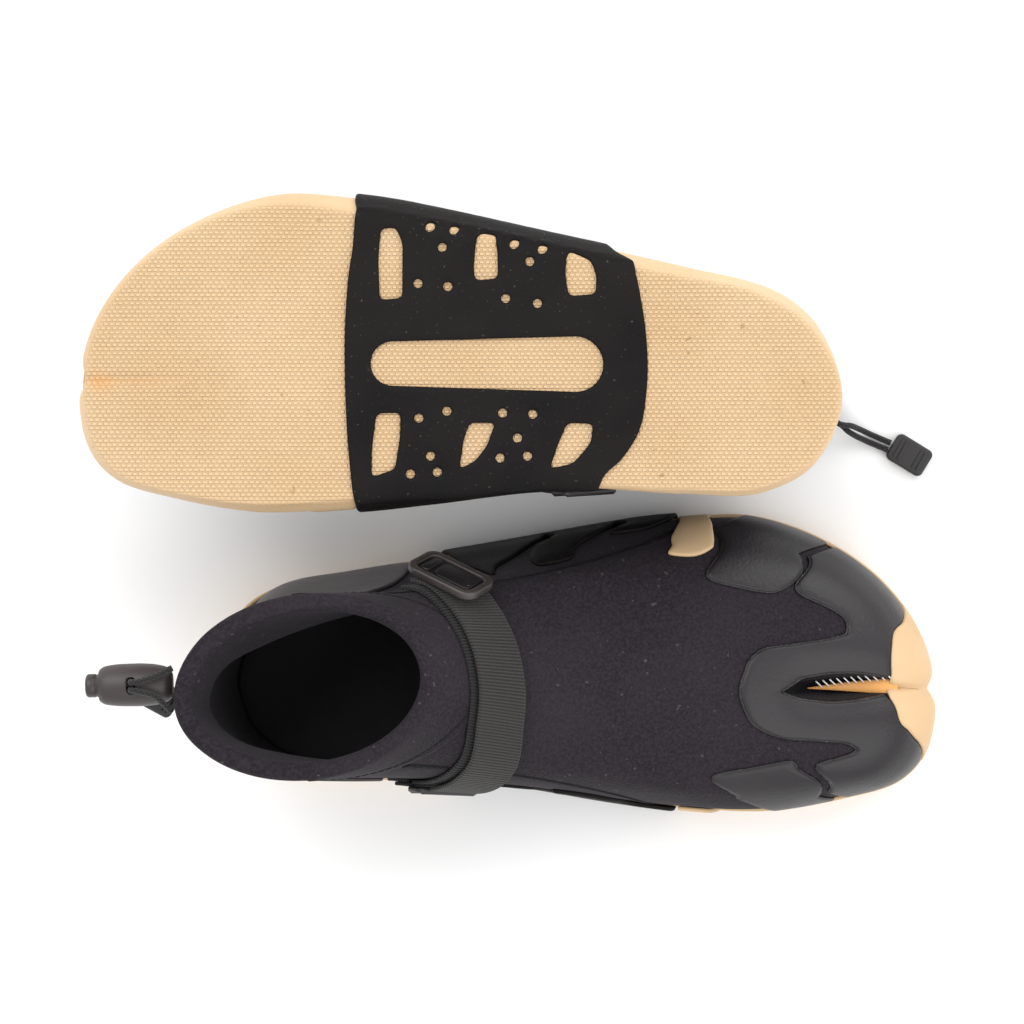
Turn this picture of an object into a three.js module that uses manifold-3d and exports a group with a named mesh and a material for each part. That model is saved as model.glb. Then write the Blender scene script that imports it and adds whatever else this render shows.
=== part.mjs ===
// A pair of split-toe neoprene reef boots: boot A stands on its sole, boot B lies sole up on its collar.
// Units are millimetres, +Z up. Each boot is built in its own frame: u runs from heel to toe, v towards
// the little toe, w up from the ground; `placeA` and `placeB` then put it in the pair's frame.
import * as THREE from 'three';
import { mergeVertices } from 'three/addons/utils/BufferGeometryUtils.js';
import { ParametricGeometry } from 'three/addons/geometries/ParametricGeometry.js';
import Module from 'manifold-3d';

// ---- driving dimensions ----
const COLLAR_HEIGHT = 104;        // ground to collar rim
const COLLAR = { u: 35.5, v: 2, long: 46.5, wide: 33, turn: 14 }; // rim ellipse, half axes, degrees
const RUBBER = 1.6;               // cup sole wall
const GAP = 0.3;                  // clearance between touching pieces
const NEOPRENE = 3;               // upper thickness
const FLOOR = 4.2;                // inside floor of the cup sole
const ARCH = { rise: 2.9, from: 44, full: 70, ease: 186, to: 210 }; // hollow under the midfoot
const OVERLAY = 1.1;              // toe cap and patch rubber
// The instep strap: it lies at ring `ring` over the toe line and drops by `outer` or `inner` times s squared
// on the two sides. It turns back at share `turn`, and its top layer lies from there to `seam` and its loose
// end on to `end`.
const STRAP = {
  width: 21, thick: 1.5, ring: 6.05, outer: 20, inner: 28, turn: -0.282, seam: 0.02, end: 0.205, under: 1.2,
  over: 3.2, offset: 2.5,
};
// Lengths, widths and corner radii of the strap's badge and of the loop it turns round.
const BADGE = { at: 0.168, off: 5.4, frame: [30, 19, 5], window: [24, 13, 3], plate: [23.4, 12.4, 2.7] };
const BADGE_THICK = { frame: 3.2, plate: 2.4 };
const LOOP = { off: 3, frame: [9, 28, 2.5], window: [4, 23, 1], thick: 2.2 };
const ANCHOR = { from: -0.322, width: 18 };
const CORD = 2.3;                 // drawcord diameter
const THREAD = 1.45;              // half the distance of the two cords in the lock's slot
const BARREL = { length: 26.5, radius: 7.8, bore: 4.6, depth: 9.2, hole: 12.2, slot: 3.2 };
const BUTTON = { radius: 4.3, out: 5, inside: 3 };
const CLIP = { length: 16, width: 11.5, thick: 3.6 };
const TOE_SPLIT = [[213.5, 4.5], [220, 7.6], [238, 8.6], [256, 8.6], [285, 8], [285, 5.2], [256, 4.6],
  [238, 2.6], [220, 2]];
const GUSSET = [[216, 4.1], [222, 5.8], [238, 6.8], [252, 7.4], [252, 6], [238, 4.4], [222, 3.8]];
// The upper's panels, as shares of the way round, their top ring, and the patches at the ankle.
const PANELS = { vamp: [-0.2, 0.186], quarter_outer: [0.188, 0.4985], quarter_inner: [0.5, 0.798] };
const PANEL_TOP = 6.2;
const PATCHES = { outer: { s: [0.352, 0.432], t: [2.25, 4.1] }, inner: { s: [0.6, 0.71], t: [4.4, 5.7] } };
const CUFF = { from: 6.22, outer: [-1.3, 0], facing: [-5.9, -4.7] };
const CHANNEL = { ring: 6.6, depth: 2.75, end: 0.46 };    // where the drawcord runs inside the cuff

// Sole outline, from the toe tip round the outer side to the heel and back along the inner side.
const OUTLINE = [[275.5, 1], [270, 24], [254, 46], [232, 60.5], [205, 67.5], [176, 65], [146, 60],
  [103, 51], [60, 42], [30, 35], [10, 21.5], [0, -3], [9, -25.3], [30, -37], [60, -37.6], [103, -35.8],
  [146, -39], [180, -41.5], [212, -43.2], [240, -39.5], [262, -32.5], [272, -21]];

const SOLE_MIDDLE = [140, 8];
const TREAD = { inset: 4, corner: 0.8, rise: 1.2, middle: 0.55 };  // the tread's edge and rounded corner

// The upper as rings from the sole to the collar. Each entry is [share of the way to the collar along u,
// the same along v, height], at the toe, at the side and at the heel.
const RINGS = [
  [[0, 0, 5.2], [0, 0, 5.2], [0, 0, 5.2]],
  [[-0.01, -0.02, 13], [0, -0.22, 14], [0.1, -0.08, 14]],
  [[0.025, 0.03, 27], [0.06, -0.16, 28], [0.2, -0.08, 28]],
  [[0.11, 0.18, 38], [0.22, 0.22, 43], [0.3, 0.08, 44]],
  [[0.34, 0.45, 49], [0.42, 0.58, 56], [0.42, 0.35, 60]],
  [[0.62, 0.75, 61], [0.64, 0.84, 70], [0.6, 0.65, 77]],
  [[0.87, 0.95, 82], [0.86, 0.97, 88], [0.82, 0.9, 92]],
  [[1, 1, COLLAR_HEIGHT], [1, 1, COLLAR_HEIGHT], [1, 1, COLLAR_HEIGHT]],
];
const RIM = 7;                    // ring number of the collar rim
const SLICES = 32;                // facets round the boot
const LEVELS = [0, 1, 2, 2.7, 3.4, 4.3, 5.2, 6.2];   // facets up the boot, in rings

// How high the cup sole's wall climbs: from each share of the way round, the ring it reaches.
const RIM_STEPS = [[0, 2.7], [0.055, 0.9], [0.189, 2.7], [0.208, 0.8], [0.43, 2], [0.57, 0.8],
  [0.793, 1.7], [0.812, 0.9], [0.945, 2.7], [1, 2.7]];
const STEP_WIDTH = 0.0015;        // a wall step's own share of the way round

const wasm = await Module();
wasm.setup();
const { degToRad, clamp, lerp, smoothstep } = THREE.MathUtils;
const V3 = (x, y, z) => new THREE.Vector3(x, y, z);

// ---- solids ----
function solidOf(geometry) {
  const bare = new THREE.BufferGeometry().setAttribute('position', geometry.getAttribute('position'));
  if (geometry.index) bare.setIndex(geometry.index);
  const merged = mergeVertices(bare, 1e-4);
  const at = merged.index.array;
  const faces = [];
  for (let i = 0; i < at.length; i += 3) {
    const [a, b, c] = [at[i], at[i + 1], at[i + 2]];
    if (a !== b && b !== c && a !== c) faces.push(a, b, c);
  }
  const mesh = (triVerts) => new wasm.Mesh({
    numProp: 3, vertProperties: merged.attributes.position.array, triVerts: new Uint32Array(triVerts),
  });
  const solid = new wasm.Manifold(mesh(faces));
  return solid.volume() < 0 ? new wasm.Manifold(mesh(faces.reverse())) : solid;
}

function biggest(solid) {
  return solid.decompose().reduce((a, b) => (b.volume() > a.volume() ? b : a));
}

function geometryOf(solid) {
  const mesh = solid.getMesh();
  const stride = mesh.numProp;
  const position = new Float32Array((mesh.vertProperties.length / stride) * 3);
  for (let i = 0; i < position.length / 3; i += 1)
    for (let k = 0; k < 3; k += 1) position[i * 3 + k] = mesh.vertProperties[i * stride + k];
  return new THREE.BufferGeometry()
    .setAttribute('position', new THREE.BufferAttribute(position, 3))
    .setIndex(Array.from(mesh.triVerts));
}

// A surface through rows of points that closes on itself round each row; the first and last rows may
// shrink to a point or fold to a line.
function loft(rows) {
  const across = rows[0].length;
  const surface = (a, b, target) => {
    const row = rows[Math.round(b * (rows.length - 1))];
    target.copy(row[Math.round(a * across) % across]);
  };
  return solidOf(new ParametricGeometry(surface, across, rows.length - 1));
}

function polygon(points) {
  return new THREE.Shape(points.map(([x, y]) => new THREE.Vector2(x, y)));
}

function prism(points, bottom, top) {
  const made = new THREE.ExtrudeGeometry(polygon(points), { depth: top - bottom, bevelEnabled: false });
  return made.translate(0, 0, bottom);
}

// A slot with round ends between two points.
function slot(from, to, width, sides = 4) {
  const along = Math.atan2(to[1] - from[1], to[0] - from[0]);
  const end = (centre, start) => Array.from({ length: sides + 1 }, (_, i) => {
    const angle = start + (Math.PI * i) / sides;
    return [centre[0] + (Math.cos(angle) * width) / 2, centre[1] + (Math.sin(angle) * width) / 2];
  });
  return [...end(to, along - Math.PI / 2), ...end(from, along + Math.PI / 2)];
}

function roundedRect(length, width, radius, steps = 3) {
  const points = [];
  for (const [sx, sy, start] of [[1, 1, 0], [-1, 1, 90], [-1, -1, 180], [1, -1, 270]])
    for (let i = 0; i <= steps; i += 1) {
      const angle = degToRad(start + (90 * i) / steps);
      points.push([sx * (length / 2 - radius) + Math.cos(angle) * radius,
        sy * (width / 2 - radius) + Math.sin(angle) * radius]);
    }
  return points;
}

function tube(points, diameter, steps, sides = 8) {
  const section = new THREE.Shape();
  section.absarc(0, 0, diameter / 2, 0, Math.PI * 2);   // a full arc gets two facets a segment
  const path = new THREE.CatmullRomCurve3(points, false, 'centripetal');
  return new THREE.ExtrudeGeometry(section, { extrudePath: path, steps, curveSegments: sides / 2 });
}

// The shares of the way round at which a piece has its facets between two ends: the common ones, and
// both sides of each step of the sole's wall for a piece that follows it.
function stopsBetween(from, to, steps) {
  const stops = [];
  for (let i = Math.ceil(from * SLICES + 0.1); i < to * SLICES - 0.1; i += 1) stops.push(i / SLICES);
  if (steps)
    for (const turn of [-1, 0])
      for (const [at] of RIM_STEPS.slice(1, -1))
        for (const stop of [at + turn - STEP_WIDTH, at + turn])
          if (stop > from && stop < to) stops.push(stop);
  return [from, ...stops.sort((a, b) => a - b), to];
}

// ---- the shape of one boot ----
// `swing` moves the heel sideways and `slump` moves the collar towards the toe: a soft boot lies bent.
function bootForm(swing, slump) {
  const sole = new THREE.CatmullRomCurve3(OUTLINE.map(([u, v]) => V3(u, v, 0)), true, 'centripetal');
  sole.arcLengthDivisions = 800;

  function bend(p) {
    const back = clamp((190 - p.x) / 190, 0, 1);
    return V3(p.x + slump * (p.z / COLLAR_HEIGHT) ** 2, p.y + swing * back ** 1.3, p.z);
  }

  function edge(s, inset = 0) {
    const at = ((s % 1) + 1) % 1;
    const p = sole.getPointAt(at);
    const along = sole.getTangentAt(at);
    return V3(p.x - along.y * inset, p.y + along.x * inset, 0);
  }

  function surface(s, t) {
    const base = edge(s, RUBBER + 2 * GAP);
    const angle = 2 * Math.PI * s;
    const turn = degToRad(COLLAR.turn);
    const [a, b] = [COLLAR.long * Math.cos(angle), COLLAR.wide * Math.sin(angle)];
    const rim = V3(COLLAR.u + a * Math.cos(turn) - b * Math.sin(turn),
      COLLAR.v + a * Math.sin(turn) + b * Math.cos(turn), 0);
    const from = Math.abs(((s + 0.5) % 1 + 1) % 1 - 0.5);       // 0 at the toe, 0.5 at the heel
    const toe = 1 - smoothstep(from, 0.08, 0.24);
    const heel = smoothstep(from, 0.28, 0.46);
    const i = clamp(Math.floor(t), 0, RIM - 1);
    const x = t - i;
    const value = (k) => {
      const of = (n) => {
        const [front, side, back] = RINGS[clamp(n, 0, RIM)];
        return toe * front[k] + heel * back[k] + (1 - toe - heel) * side[k];
      };
      const before = i === 0 ? 2 * of(0) - of(1) : of(i - 1);
      const after = i === RIM - 1 ? 2 * of(RIM) - of(RIM - 1) : of(i + 2);
      const [p1, p2] = [of(i), of(i + 1)];
      return 0.5 * (2 * p1 + (p2 - before) * x + (2 * before - 5 * p1 + 4 * p2 - after) * x * x
        + (3 * p1 - before - 3 * p2 + after) * x ** 3);
    };
    return bend(V3(lerp(base.x, rim.x, value(0)), lerp(base.y, rim.y, value(1)), value(2)));
  }

  function normal(s, t) {
    const [ds, dt] = [0.004, 0.05];
    const t0 = clamp(t - dt, 0, RIM);
    const t1 = clamp(t + dt, 0, RIM);
    const along = surface(s + ds, t).sub(surface(s - ds, t));
    return along.cross(surface(s, t1).sub(surface(s, t0))).normalize();
  }

  const skin = (s, t, off = 0) => surface(s, t).addScaledVector(normal(s, t), off);
  const arch = (u) => ARCH.rise * smoothstep(u, ARCH.from, ARCH.full)
    * (1 - smoothstep(u, ARCH.ease, ARCH.to));
  // A point under the boot: `share` of the way from the sole's middle to its edge.
  const under = (s, share, inset, height) => {
    const p = edge(s, inset).lerp(V3(SOLE_MIDDLE[0], SOLE_MIDDLE[1], 0), 1 - share);
    p.z = height + arch(p.x) * (height < FLOOR ? 1 : 0);
    return bend(p);
  };
  const rimRing = (s) => RIM_STEPS.findLast(([from]) => from <= ((s % 1) + 1) % 1)[1];
  return { skin, normal, under, rimRing };
}

// A closed sheet on the boot's surface over s0..s1 and t0(s)..t1(s), between two offsets. Without
// `slices` and `stacks` it follows the boot's own facets.
function sheet(form, { s, t, off, slices, stacks, steps }) {
  const level = (value, at) => (typeof value === 'function' ? value(at) : value);
  const rows = [];
  const row = (at, fold) => {
    const [lo, hi] = [level(t[0], at), level(t[1], at)];
    const levels = stacks ? Array.from({ length: stacks + 1 }, (_, i) => lerp(lo, hi, i / stacks))
      : LEVELS.map((ring) => clamp(ring, lo, hi));
    const [inner, outer] = off.map((offset) => levels.map((ring) => form.skin(at, ring, offset)));
    if (fold) inner.forEach((p, i) => { p.lerp(outer[i], 0.5); outer[i].copy(p); });
    rows.push([...outer, ...inner.reverse()]);
  };
  const stops = slices ? Array.from({ length: slices + 1 }, (_, i) => lerp(s[0], s[1], i / slices))
    : stopsBetween(s[0], s[1], steps);
  row(s[0], true);
  for (const at of stops) row(at, false);
  row(s[1], true);
  return loft(rows);
}

// A closed band right round the boot between two rings and two offsets.
function band(form, { t, off, stacks }) {
  const ring = (level, offset) => around((s) => {
    const p = form.skin(s, level, offset);
    p.z = Math.min(p.z, COLLAR_HEIGHT);
    return p;
  });
  const rows = [];
  for (let i = 0; i <= stacks; i += 1) rows.push(ring(lerp(t[0], t[1], i / stacks), off[1]));
  for (let i = stacks; i >= 0; i -= 1) rows.push(ring(lerp(t[0], t[1], i / stacks), off[0]));
  rows.push(rows[0].map((p) => p.clone()));
  return loft(rows);
}

function around(point, steps) {
  return stopsBetween(0, 1, steps).slice(0, -1).map(point);
}

// What the upper and its clearance take up: pieces that lie on the upper are cut by it.
function upperRoom(form) {
  const arc = (s) => sheet(form, { s, t: [0, PANEL_TOP], off: [-NEOPRENE - 1, GAP] });
  return arc([-0.275, 0.275]).add(arc([0.25, 0.525])).add(arc([0.475, 0.75]));
}

// ---- pieces ----
function outsole(form, room) {
  const levels = LEVELS.filter((ring) => ring < 3);
  const ring = (point) => around(point, true);
  const wall = (level, off) => ring((s) => form.skin(s, Math.min(level, form.rimRing(s)), off));
  return loft([
    ring((s) => form.under(s, 0, 0, 0)),
    ring((s) => form.under(s, TREAD.middle, TREAD.inset, 0)),
    ring((s) => form.under(s, 1, TREAD.inset, 0)),
    ring((s) => form.under(s, 1, TREAD.corner, TREAD.rise)),
    ...levels.map((level) => wall(level, RUBBER + GAP)),
    ...levels.reverse().map((level) => wall(level, GAP)),
    ring((s) => form.under(s, 1, 3, FLOOR)),
    ring((s) => form.under(s, 0, 0, FLOOR)),
  ]).subtract(room);
}

// The cup sole without its hollow, grown by the clearance.
function soleRoom(form) {
  const ring = (point) => around(point, true);
  const above = 0.03;                             // the clearance over the wall's top, in rings
  const off = RUBBER + 2 * GAP;
  const wall = (level) => ring((s) => form.skin(s, Math.min(level, form.rimRing(s) + above), off));
  return loft([
    ring((s) => form.under(s, 0, 0, -GAP)),
    ring((s) => form.under(s, TREAD.middle, TREAD.inset, -GAP)),
    ring((s) => form.under(s, 1, TREAD.inset, -GAP)),
    ring((s) => form.under(s, 1, TREAD.corner - GAP, TREAD.rise - GAP)),
    ...LEVELS.filter((level) => level < 3).map(wall),
    ring((s) => form.under(s, 0, 0, 30)),
  ]);
}

// A flat board inside the upper, from one height to another.
function board(form, inset, bottom, top) {
  return loft([
    around((s) => form.under(s, 0, 0, bottom)), around((s) => form.under(s, 1, inset, bottom)),
    around((s) => form.under(s, 1, inset, top)), around((s) => form.under(s, 0, 0, top)),
  ]);
}

// A solid of the sole and lower upper, grown outwards by `grow`; the harness is cut from two of them.
function grown(form, grow, top, crown) {
  const off = (t) => lerp(RUBBER + GAP, 0, smoothstep(t, 0.9, 1.9)) + grow;
  const centre = (height) => around((s) => {
    const p = form.under(s, 0, 0, 0);
    p.z = height;
    return p;
  });
  const levels = [...LEVELS.filter((ring) => ring < top), top];
  return loft([
    centre(ARCH.rise - grow),
    around((s) => form.under(s, TREAD.middle, TREAD.inset, -grow)),
    around((s) => form.under(s, 1, TREAD.inset, -grow)),
    around((s) => form.under(s, 1, TREAD.corner - 0.7 * grow, TREAD.rise - 0.7 * grow)),
    ...levels.map((t) => around((s) => form.skin(s, t, off(t)))),
    centre(crown),
  ]);
}

const HARNESS_PLAN = [[171, 90], [173, 20], [176, -20], [172, -70], [100, -70], [85, -36], [74, -10],
  [71, 12], [75, 45], [80, 90]];
const HARNESS_THICK = 1.2;
// Slots in the harness under the sole: two ends of each slot's middle line, and its width.
const HARNESS_SLOTS = [
  [[92, 6], [164, 8], 19],
  [[161, 57], [161, 38], 9], [[128, 50], [128, 42], 8], [[96, 46], [99, 36], 10],
  [[162, -14], [162, -27], 10], [[131, -16], [129, -23], 9], [[97, -17], [100, -22], 10],
];
// Openings between the harness fingers: from and to along u, and the height they start at, on the outer
// and then on the inner side.
const HARNESS_GAPS = [[[104, 114, 24], [137, 144, 24], [60, 99, 27], [163, 180, 26]],
  [[60, 112, 24], [128, 140, 20], [158, 180, 24]]];

function harness(form, room) {
  let made = solidOf(prism(HARNESS_PLAN, -6, 62))
    .intersect(grown(form, GAP + HARNESS_THICK, 3.4, 44)).subtract(grown(form, GAP, 4.3, 52))
    .subtract(soleRoom(form)).subtract(room);
  for (const [from, to, width] of HARNESS_SLOTS)
    made = made.subtract(solidOf(prism(slot(from, to, width), -6, FLOOR - 1)));
  HARNESS_GAPS.forEach((gaps, side) => {
    for (const [from, to, low] of gaps) {
      const cut = new THREE.BoxGeometry(to - from, 100, 60);
      made = made.subtract(solidOf(cut.translate((from + to) / 2, side ? -46 : 54, low + 30)));
    }
  });
  return biggest(made);
}

// Plan outlines of the toe cap and of the patches behind it.
const TOE_CAP = [[260, 29], [256, 22], [256, -8], [268, -18], [262, -31], [234, -50], [229, -24], [243, -19],
  [240, -16], [212, -12.7], [201, -5], [198, 4], [200, 12.5], [205, 19], [234, 24], [240, 29], [222, 41],
  [227, 60], [262, 60]];
const WING_OUTER = [[190, 80], [188, 46], [210, 41.5], [221, 43.5], [225.5, 62], [226, 80]];
const WING_INNER = [[199, -60], [191, -27], [216.6, -22.7], [227.5, -26], [232, -50], [232, -60]];

// A rubber overlay: the part of a cover over the toe, between two shares of the way round, inside `outline`.
function overlay(form, room, outline, s) {
  const cover = sheet(form, {
    s, steps: true, t: [(at) => form.rimRing(at) + 0.1, 5], off: [0, GAP + OVERLAY],
  });
  return biggest(cover.intersect(solidOf(prism(outline, 0, 90))).subtract(room));
}

const strapRing = (s) => STRAP.ring - (s > 0 ? STRAP.outer : STRAP.inner) * s * s;
const ringScale = (form, s, t) => form.skin(s, t + 0.1).distanceTo(form.skin(s, t - 0.1)) / 0.2;

// A length of strap over the instep; `shift` moves it towards the heel.
function strap(form, s, low, slices, width = STRAP.width, shift = 0) {
  const edgeAt = (side) => (at) => {
    const mid = strapRing(at);
    return mid + (shift + (side * width) / 2) / ringScale(form, at, mid);
  };
  return sheet(form, { s, slices, stacks: 2, t: [edgeAt(-1), edgeAt(1)], off: [low, low + STRAP.thick] });
}

// Turns and moves a geometry so that its X runs along `along`, its Z along `up`, at `at`.
function stand(geometry, at, along, up) {
  const z = up.clone().normalize();
  const y = z.clone().cross(along).normalize();
  const m = new THREE.Matrix4().makeBasis(y.clone().cross(z), y, z).setPosition(at);
  return geometry.applyMatrix4(m);
}

function plate(points, thick, holes = []) {
  const shape = polygon(points);
  for (const hole of holes) shape.holes.push(new THREE.Path(hole.map(([x, y]) => new THREE.Vector2(x, y))));
  return new THREE.ExtrudeGeometry(shape, { depth: thick, bevelEnabled: false });
}

function lathe(profile, sides = 14) {
  const made = new THREE.LatheGeometry(profile.map(([r, x]) => new THREE.Vector2(r, x)), sides);
  return made.rotateZ(-Math.PI / 2);             // the axis now runs along X
}

// The cord lock in its own frame: the barrel along X from its open end, the cord hole along Z.
function lockPieces() {
  const { length, radius, bore, depth, hole, slot: opening } = BARREL;
  const barrel = solidOf(lathe([[0, depth], [bore, depth], [bore, 0], [bore + 1.5, 0], [radius - 0.9, 1.6],
    [radius, 9], [radius, 18], [radius - 1.2, length - 1], [radius - 2.6, length], [0, length]]));
  const cordHole = solidOf(prism(slot([hole, -THREAD], [hole, THREAD], opening), -20, 20));
  const { radius: thumb, out, inside } = BUTTON;
  const button = lathe([[0, -out], [thumb - 0.8, -out], [thumb, -out + 0.8], [thumb, inside], [0, inside]]);
  const coil = Array.from({ length: 25 }, (_, i) => {
    const angle = (i / 24) * 3 * 2 * Math.PI;
    return V3(lerp(inside + 0.7, depth - 0.7, i / 24), Math.cos(angle) * 3.1, Math.sin(angle) * 3.1);
  });
  return { barrel: geometryOf(barrel.subtract(cordHole)), button, spring: tube(coil, 0.7, 30, 4) };
}

// Where each boot's free cords, cord lock and cord clip lie, in the boot's frame as it lies. `side` is 1
// or -1 for the two cords.
const DRAW = {
  a: {
    lock: { at: V3(-26, 9, 91.5), along: V3(1, 0.02, 0.02), up: V3(0, 0, 1) },
    way: (side) => [V3(-10.9, 7.6 + side * 8, 100.2), V3(-17, 9 + side * 3.6, 101.6),
      V3(-22.5, 9 + side * 1.8, 102.8), V3(-25.2, 9 + side * THREAD, 102.2), V3(-26, 9 + side * THREAD, 99),
      V3(-26, 9 + side * THREAD, 83), V3(-25, 8 + side * THREAD, 79.5)],
    clip: { at: V3(-18.4, 3.4, 73), along: V3(0.62, -0.42, -0.66), up: V3(0.55, -0.36, 0.75) },
  },
  b: {
    lock: { at: V3(2, -6, 95.3), along: V3(-0.393, 0.92, 0), up: V3(-0.92, -0.393, 0) },
    way: (side) => [V3(11.4, -2.1, 95.3 - side * THREAD), V3(8.4, -3.3, 95.3 - side * THREAD),
      V3(2, -6, 95.3 - side * THREAD), V3(-9, -10.7, 95.3 - side * THREAD),
      V3(-12 - side * 0.45, -12 + side, 96.5 - side * 1.1), V3(-15.4 - side * 0.6, -13.5 + side * 1.4, 99.2),
      V3(-21 - side * 0.6, -15.9 + side * 1.4, 101.9), V3(-28.4 - side * 0.6, -19 + side * 1.4, 102)],
    clip: { at: V3(-36.3, -22.4, 102), along: V3(-0.854, -0.52, 0), up: V3(0, 0, -1) },
  },
};

function makeBoot(name, form, place) {
  const group = new THREE.Group();
  const add = (piece, made, colour, roughness, metalness = 0) => {
    const geometry = made.getMesh ? geometryOf(made) : made;
    const material = new THREE.MeshStandardMaterial({ color: colour, roughness, metalness });
    const mesh = new THREE.Mesh(geometry, material);
    mesh.name = `boot_${name}_${piece}`;
    group.add(mesh);
  };
  const NEO = [0x2d2830, 0.9];
  const GUM = [0xe8c896, 0.75];
  const BLACK_RUBBER = [0x2a292b, 0.6];
  const CHARCOAL = [0x464346, 0.5];
  const WEB = [0x464442, 0.85];
  const PLASTIC = [0x2c2a2c, 0.4];

  const room = upperRoom(form);
  add('outsole', outsole(form, room), ...GUM);
  add('lasting_board', board(form, 7, FLOOR + GAP, FLOOR + 2), 0x8a8478, 0.9);
  add('footbed', board(form, 7.4, FLOOR + 2 + GAP, FLOOR + 6), 0x3a3a3e, 0.9);

  const split = solidOf(prism(TOE_SPLIT, 0, 90));
  const panel = (s) => sheet(form, { s, t: [0, PANEL_TOP], off: [-NEOPRENE, 0] });
  add('vamp', panel(PANELS.vamp).subtract(split), ...NEO);
  add('quarter_outer', panel(PANELS.quarter_outer), ...NEO);
  add('quarter_inner', panel(PANELS.quarter_inner), ...NEO);
  const cuff = (off) => band(form, { t: [CUFF.from, RIM], off, stacks: 1 });
  add('cuff_outer', cuff(CUFF.outer), ...NEO);
  add('cuff_facing', cuff(CUFF.facing), ...NEO);
  const steps = 28;
  const cordPath = Array.from({ length: steps + 1 }, (_, i) =>
    form.skin(lerp(-CHANNEL.end, CHANNEL.end, i / steps), CHANNEL.ring, -CHANNEL.depth));
  add('collar_cord', tube(cordPath, CORD - 0.4, steps, 6), 0x1a1a1c, 0.8);

  add('toe_cap', biggest(overlay(form, room, TOE_CAP, [-0.25, 0.25]).subtract(split)), ...CHARCOAL);
  add('toe_wing_outer', overlay(form, room, WING_OUTER, [0, 0.25]), ...CHARCOAL);
  add('toe_wing_inner', overlay(form, room, WING_INNER, [-0.25, 0.25]), ...CHARCOAL);
  add('split_gusset', prism(GUSSET, 12, 34), ...GUM);
  const patch = ({ s, t }) => sheet(form, { s, t, off: [0, GAP + OVERLAY] }).subtract(room);
  add('ankle_patch_outer', patch(PATCHES.outer), ...CHARCOAL);
  add('ankle_patch_inner', patch(PATCHES.inner), ...CHARCOAL);
  add('harness', harness(form, room), ...BLACK_RUBBER);

  add('strap_under', strap(form, [STRAP.turn, STRAP.end + 0.005], STRAP.under, 18, STRAP.width, STRAP.offset)
    .subtract(room), ...WEB);
  add('strap_top', strap(form, [STRAP.turn + 0.024, STRAP.seam - 0.002], STRAP.over, 12), ...WEB);
  add('strap_tail', strap(form, [STRAP.seam + 0.002, STRAP.end], STRAP.over, 10), ...WEB);
  const anchored = [ANCHOR.from, STRAP.turn - 0.012];
  add('loop_anchor', strap(form, anchored, STRAP.under, 5, ANCHOR.width, STRAP.offset), ...WEB);

  const onStrap = (s, off = 0) => form.skin(s, strapRing(s), off);
  const upFrom = (s) => form.normal(s, strapRing(s));
  const badge = (geometry) => stand(geometry, onStrap(BADGE.at, BADGE.off),
    onStrap(BADGE.at + 0.004).sub(onStrap(BADGE.at - 0.004)), upFrom(BADGE.at));
  const window = roundedRect(...BADGE.window).reverse();
  add('badge_frame', badge(plate(roundedRect(...BADGE.frame), BADGE_THICK.frame, [window])), ...PLASTIC);
  add('badge_plate', badge(plate(roundedRect(...BADGE.plate), BADGE_THICK.plate)), ...CHARCOAL);
  const loopAt = STRAP.turn + 0.004;
  const rise = form.skin(loopAt, strapRing(loopAt) + 0.2).sub(form.skin(loopAt, strapRing(loopAt) - 0.2));
  const loop = plate(roundedRect(...LOOP.frame), LOOP.thick, [roundedRect(...LOOP.window).reverse()]);
  add('buckle_loop', stand(loop, onStrap(loopAt, LOOP.off), rise.cross(upFrom(loopAt)), upFrom(loopAt)),
    ...PLASTIC);

  const { lock, way, clip } = DRAW[name];
  const set = (geometry, { at, along: x, up }) => stand(geometry, at, x, up);
  const pieces = lockPieces();
  for (const key of ['barrel', 'button', 'spring']) {
    pieces[key].translate(-BARREL.hole, 0, 0);
    add(`lock_${key}`, set(pieces[key], lock), ...(key === 'spring' ? [0x9a9a9a, 0.4, 1] : PLASTIC));
  }
  const clipPlate = plate(roundedRect(CLIP.length, CLIP.width, 2), CLIP.thick);
  add('cord_clip', set(clipPlate.translate(0, 0, -CLIP.thick / 2), clip), ...PLASTIC);
  add('cord_1', tube(way(1), CORD, 18), 0x1a1a1c, 0.8);
  add('cord_2', tube(way(-1), CORD, 18), 0x1a1a1c, 0.8);
  group.applyMatrix4(place);
  return group;
}

// ---- the pair ----
const placeA = new THREE.Matrix4().makeTranslation(-112, -72, 0);
const placeB = new THREE.Matrix4().makeTranslation(120, 44.8, COLLAR_HEIGHT)
  .multiply(new THREE.Matrix4().makeRotationY(Math.PI));

const pair = new THREE.Group();
pair.add(makeBoot('a', bootForm(9, 0), placeA));
pair.add(makeBoot('b', bootForm(0, 24), placeB));

// The origin is under the middle of the pair's box, on the ground, leaving out the cords and what hangs
// on them.
const box = new THREE.Box3();
pair.updateMatrixWorld(true);
pair.traverse((mesh) => {
  if (mesh.isMesh && !/_(cord_\d|cord_clip|lock_\w+)$/.test(mesh.name)) box.expandByObject(mesh);
});
pair.position.set(-(box.min.x + box.max.x) / 2, -(box.min.y + box.max.y) / 2, -box.min.z);

export default pair;
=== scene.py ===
# The looks of the pair of split-toe neoprene boots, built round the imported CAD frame.
# Shapes are worked out in millimetres in each boot's own frame: u from heel to toe, v towards the little
# toe, w up from the boot's ground. `Boot.place` takes them to the row's frame in metres.
import math

import bmesh
import bpy
import numpy as np
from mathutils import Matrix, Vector
from mathutils.geometry import delaunay_2d_cdt


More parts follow.
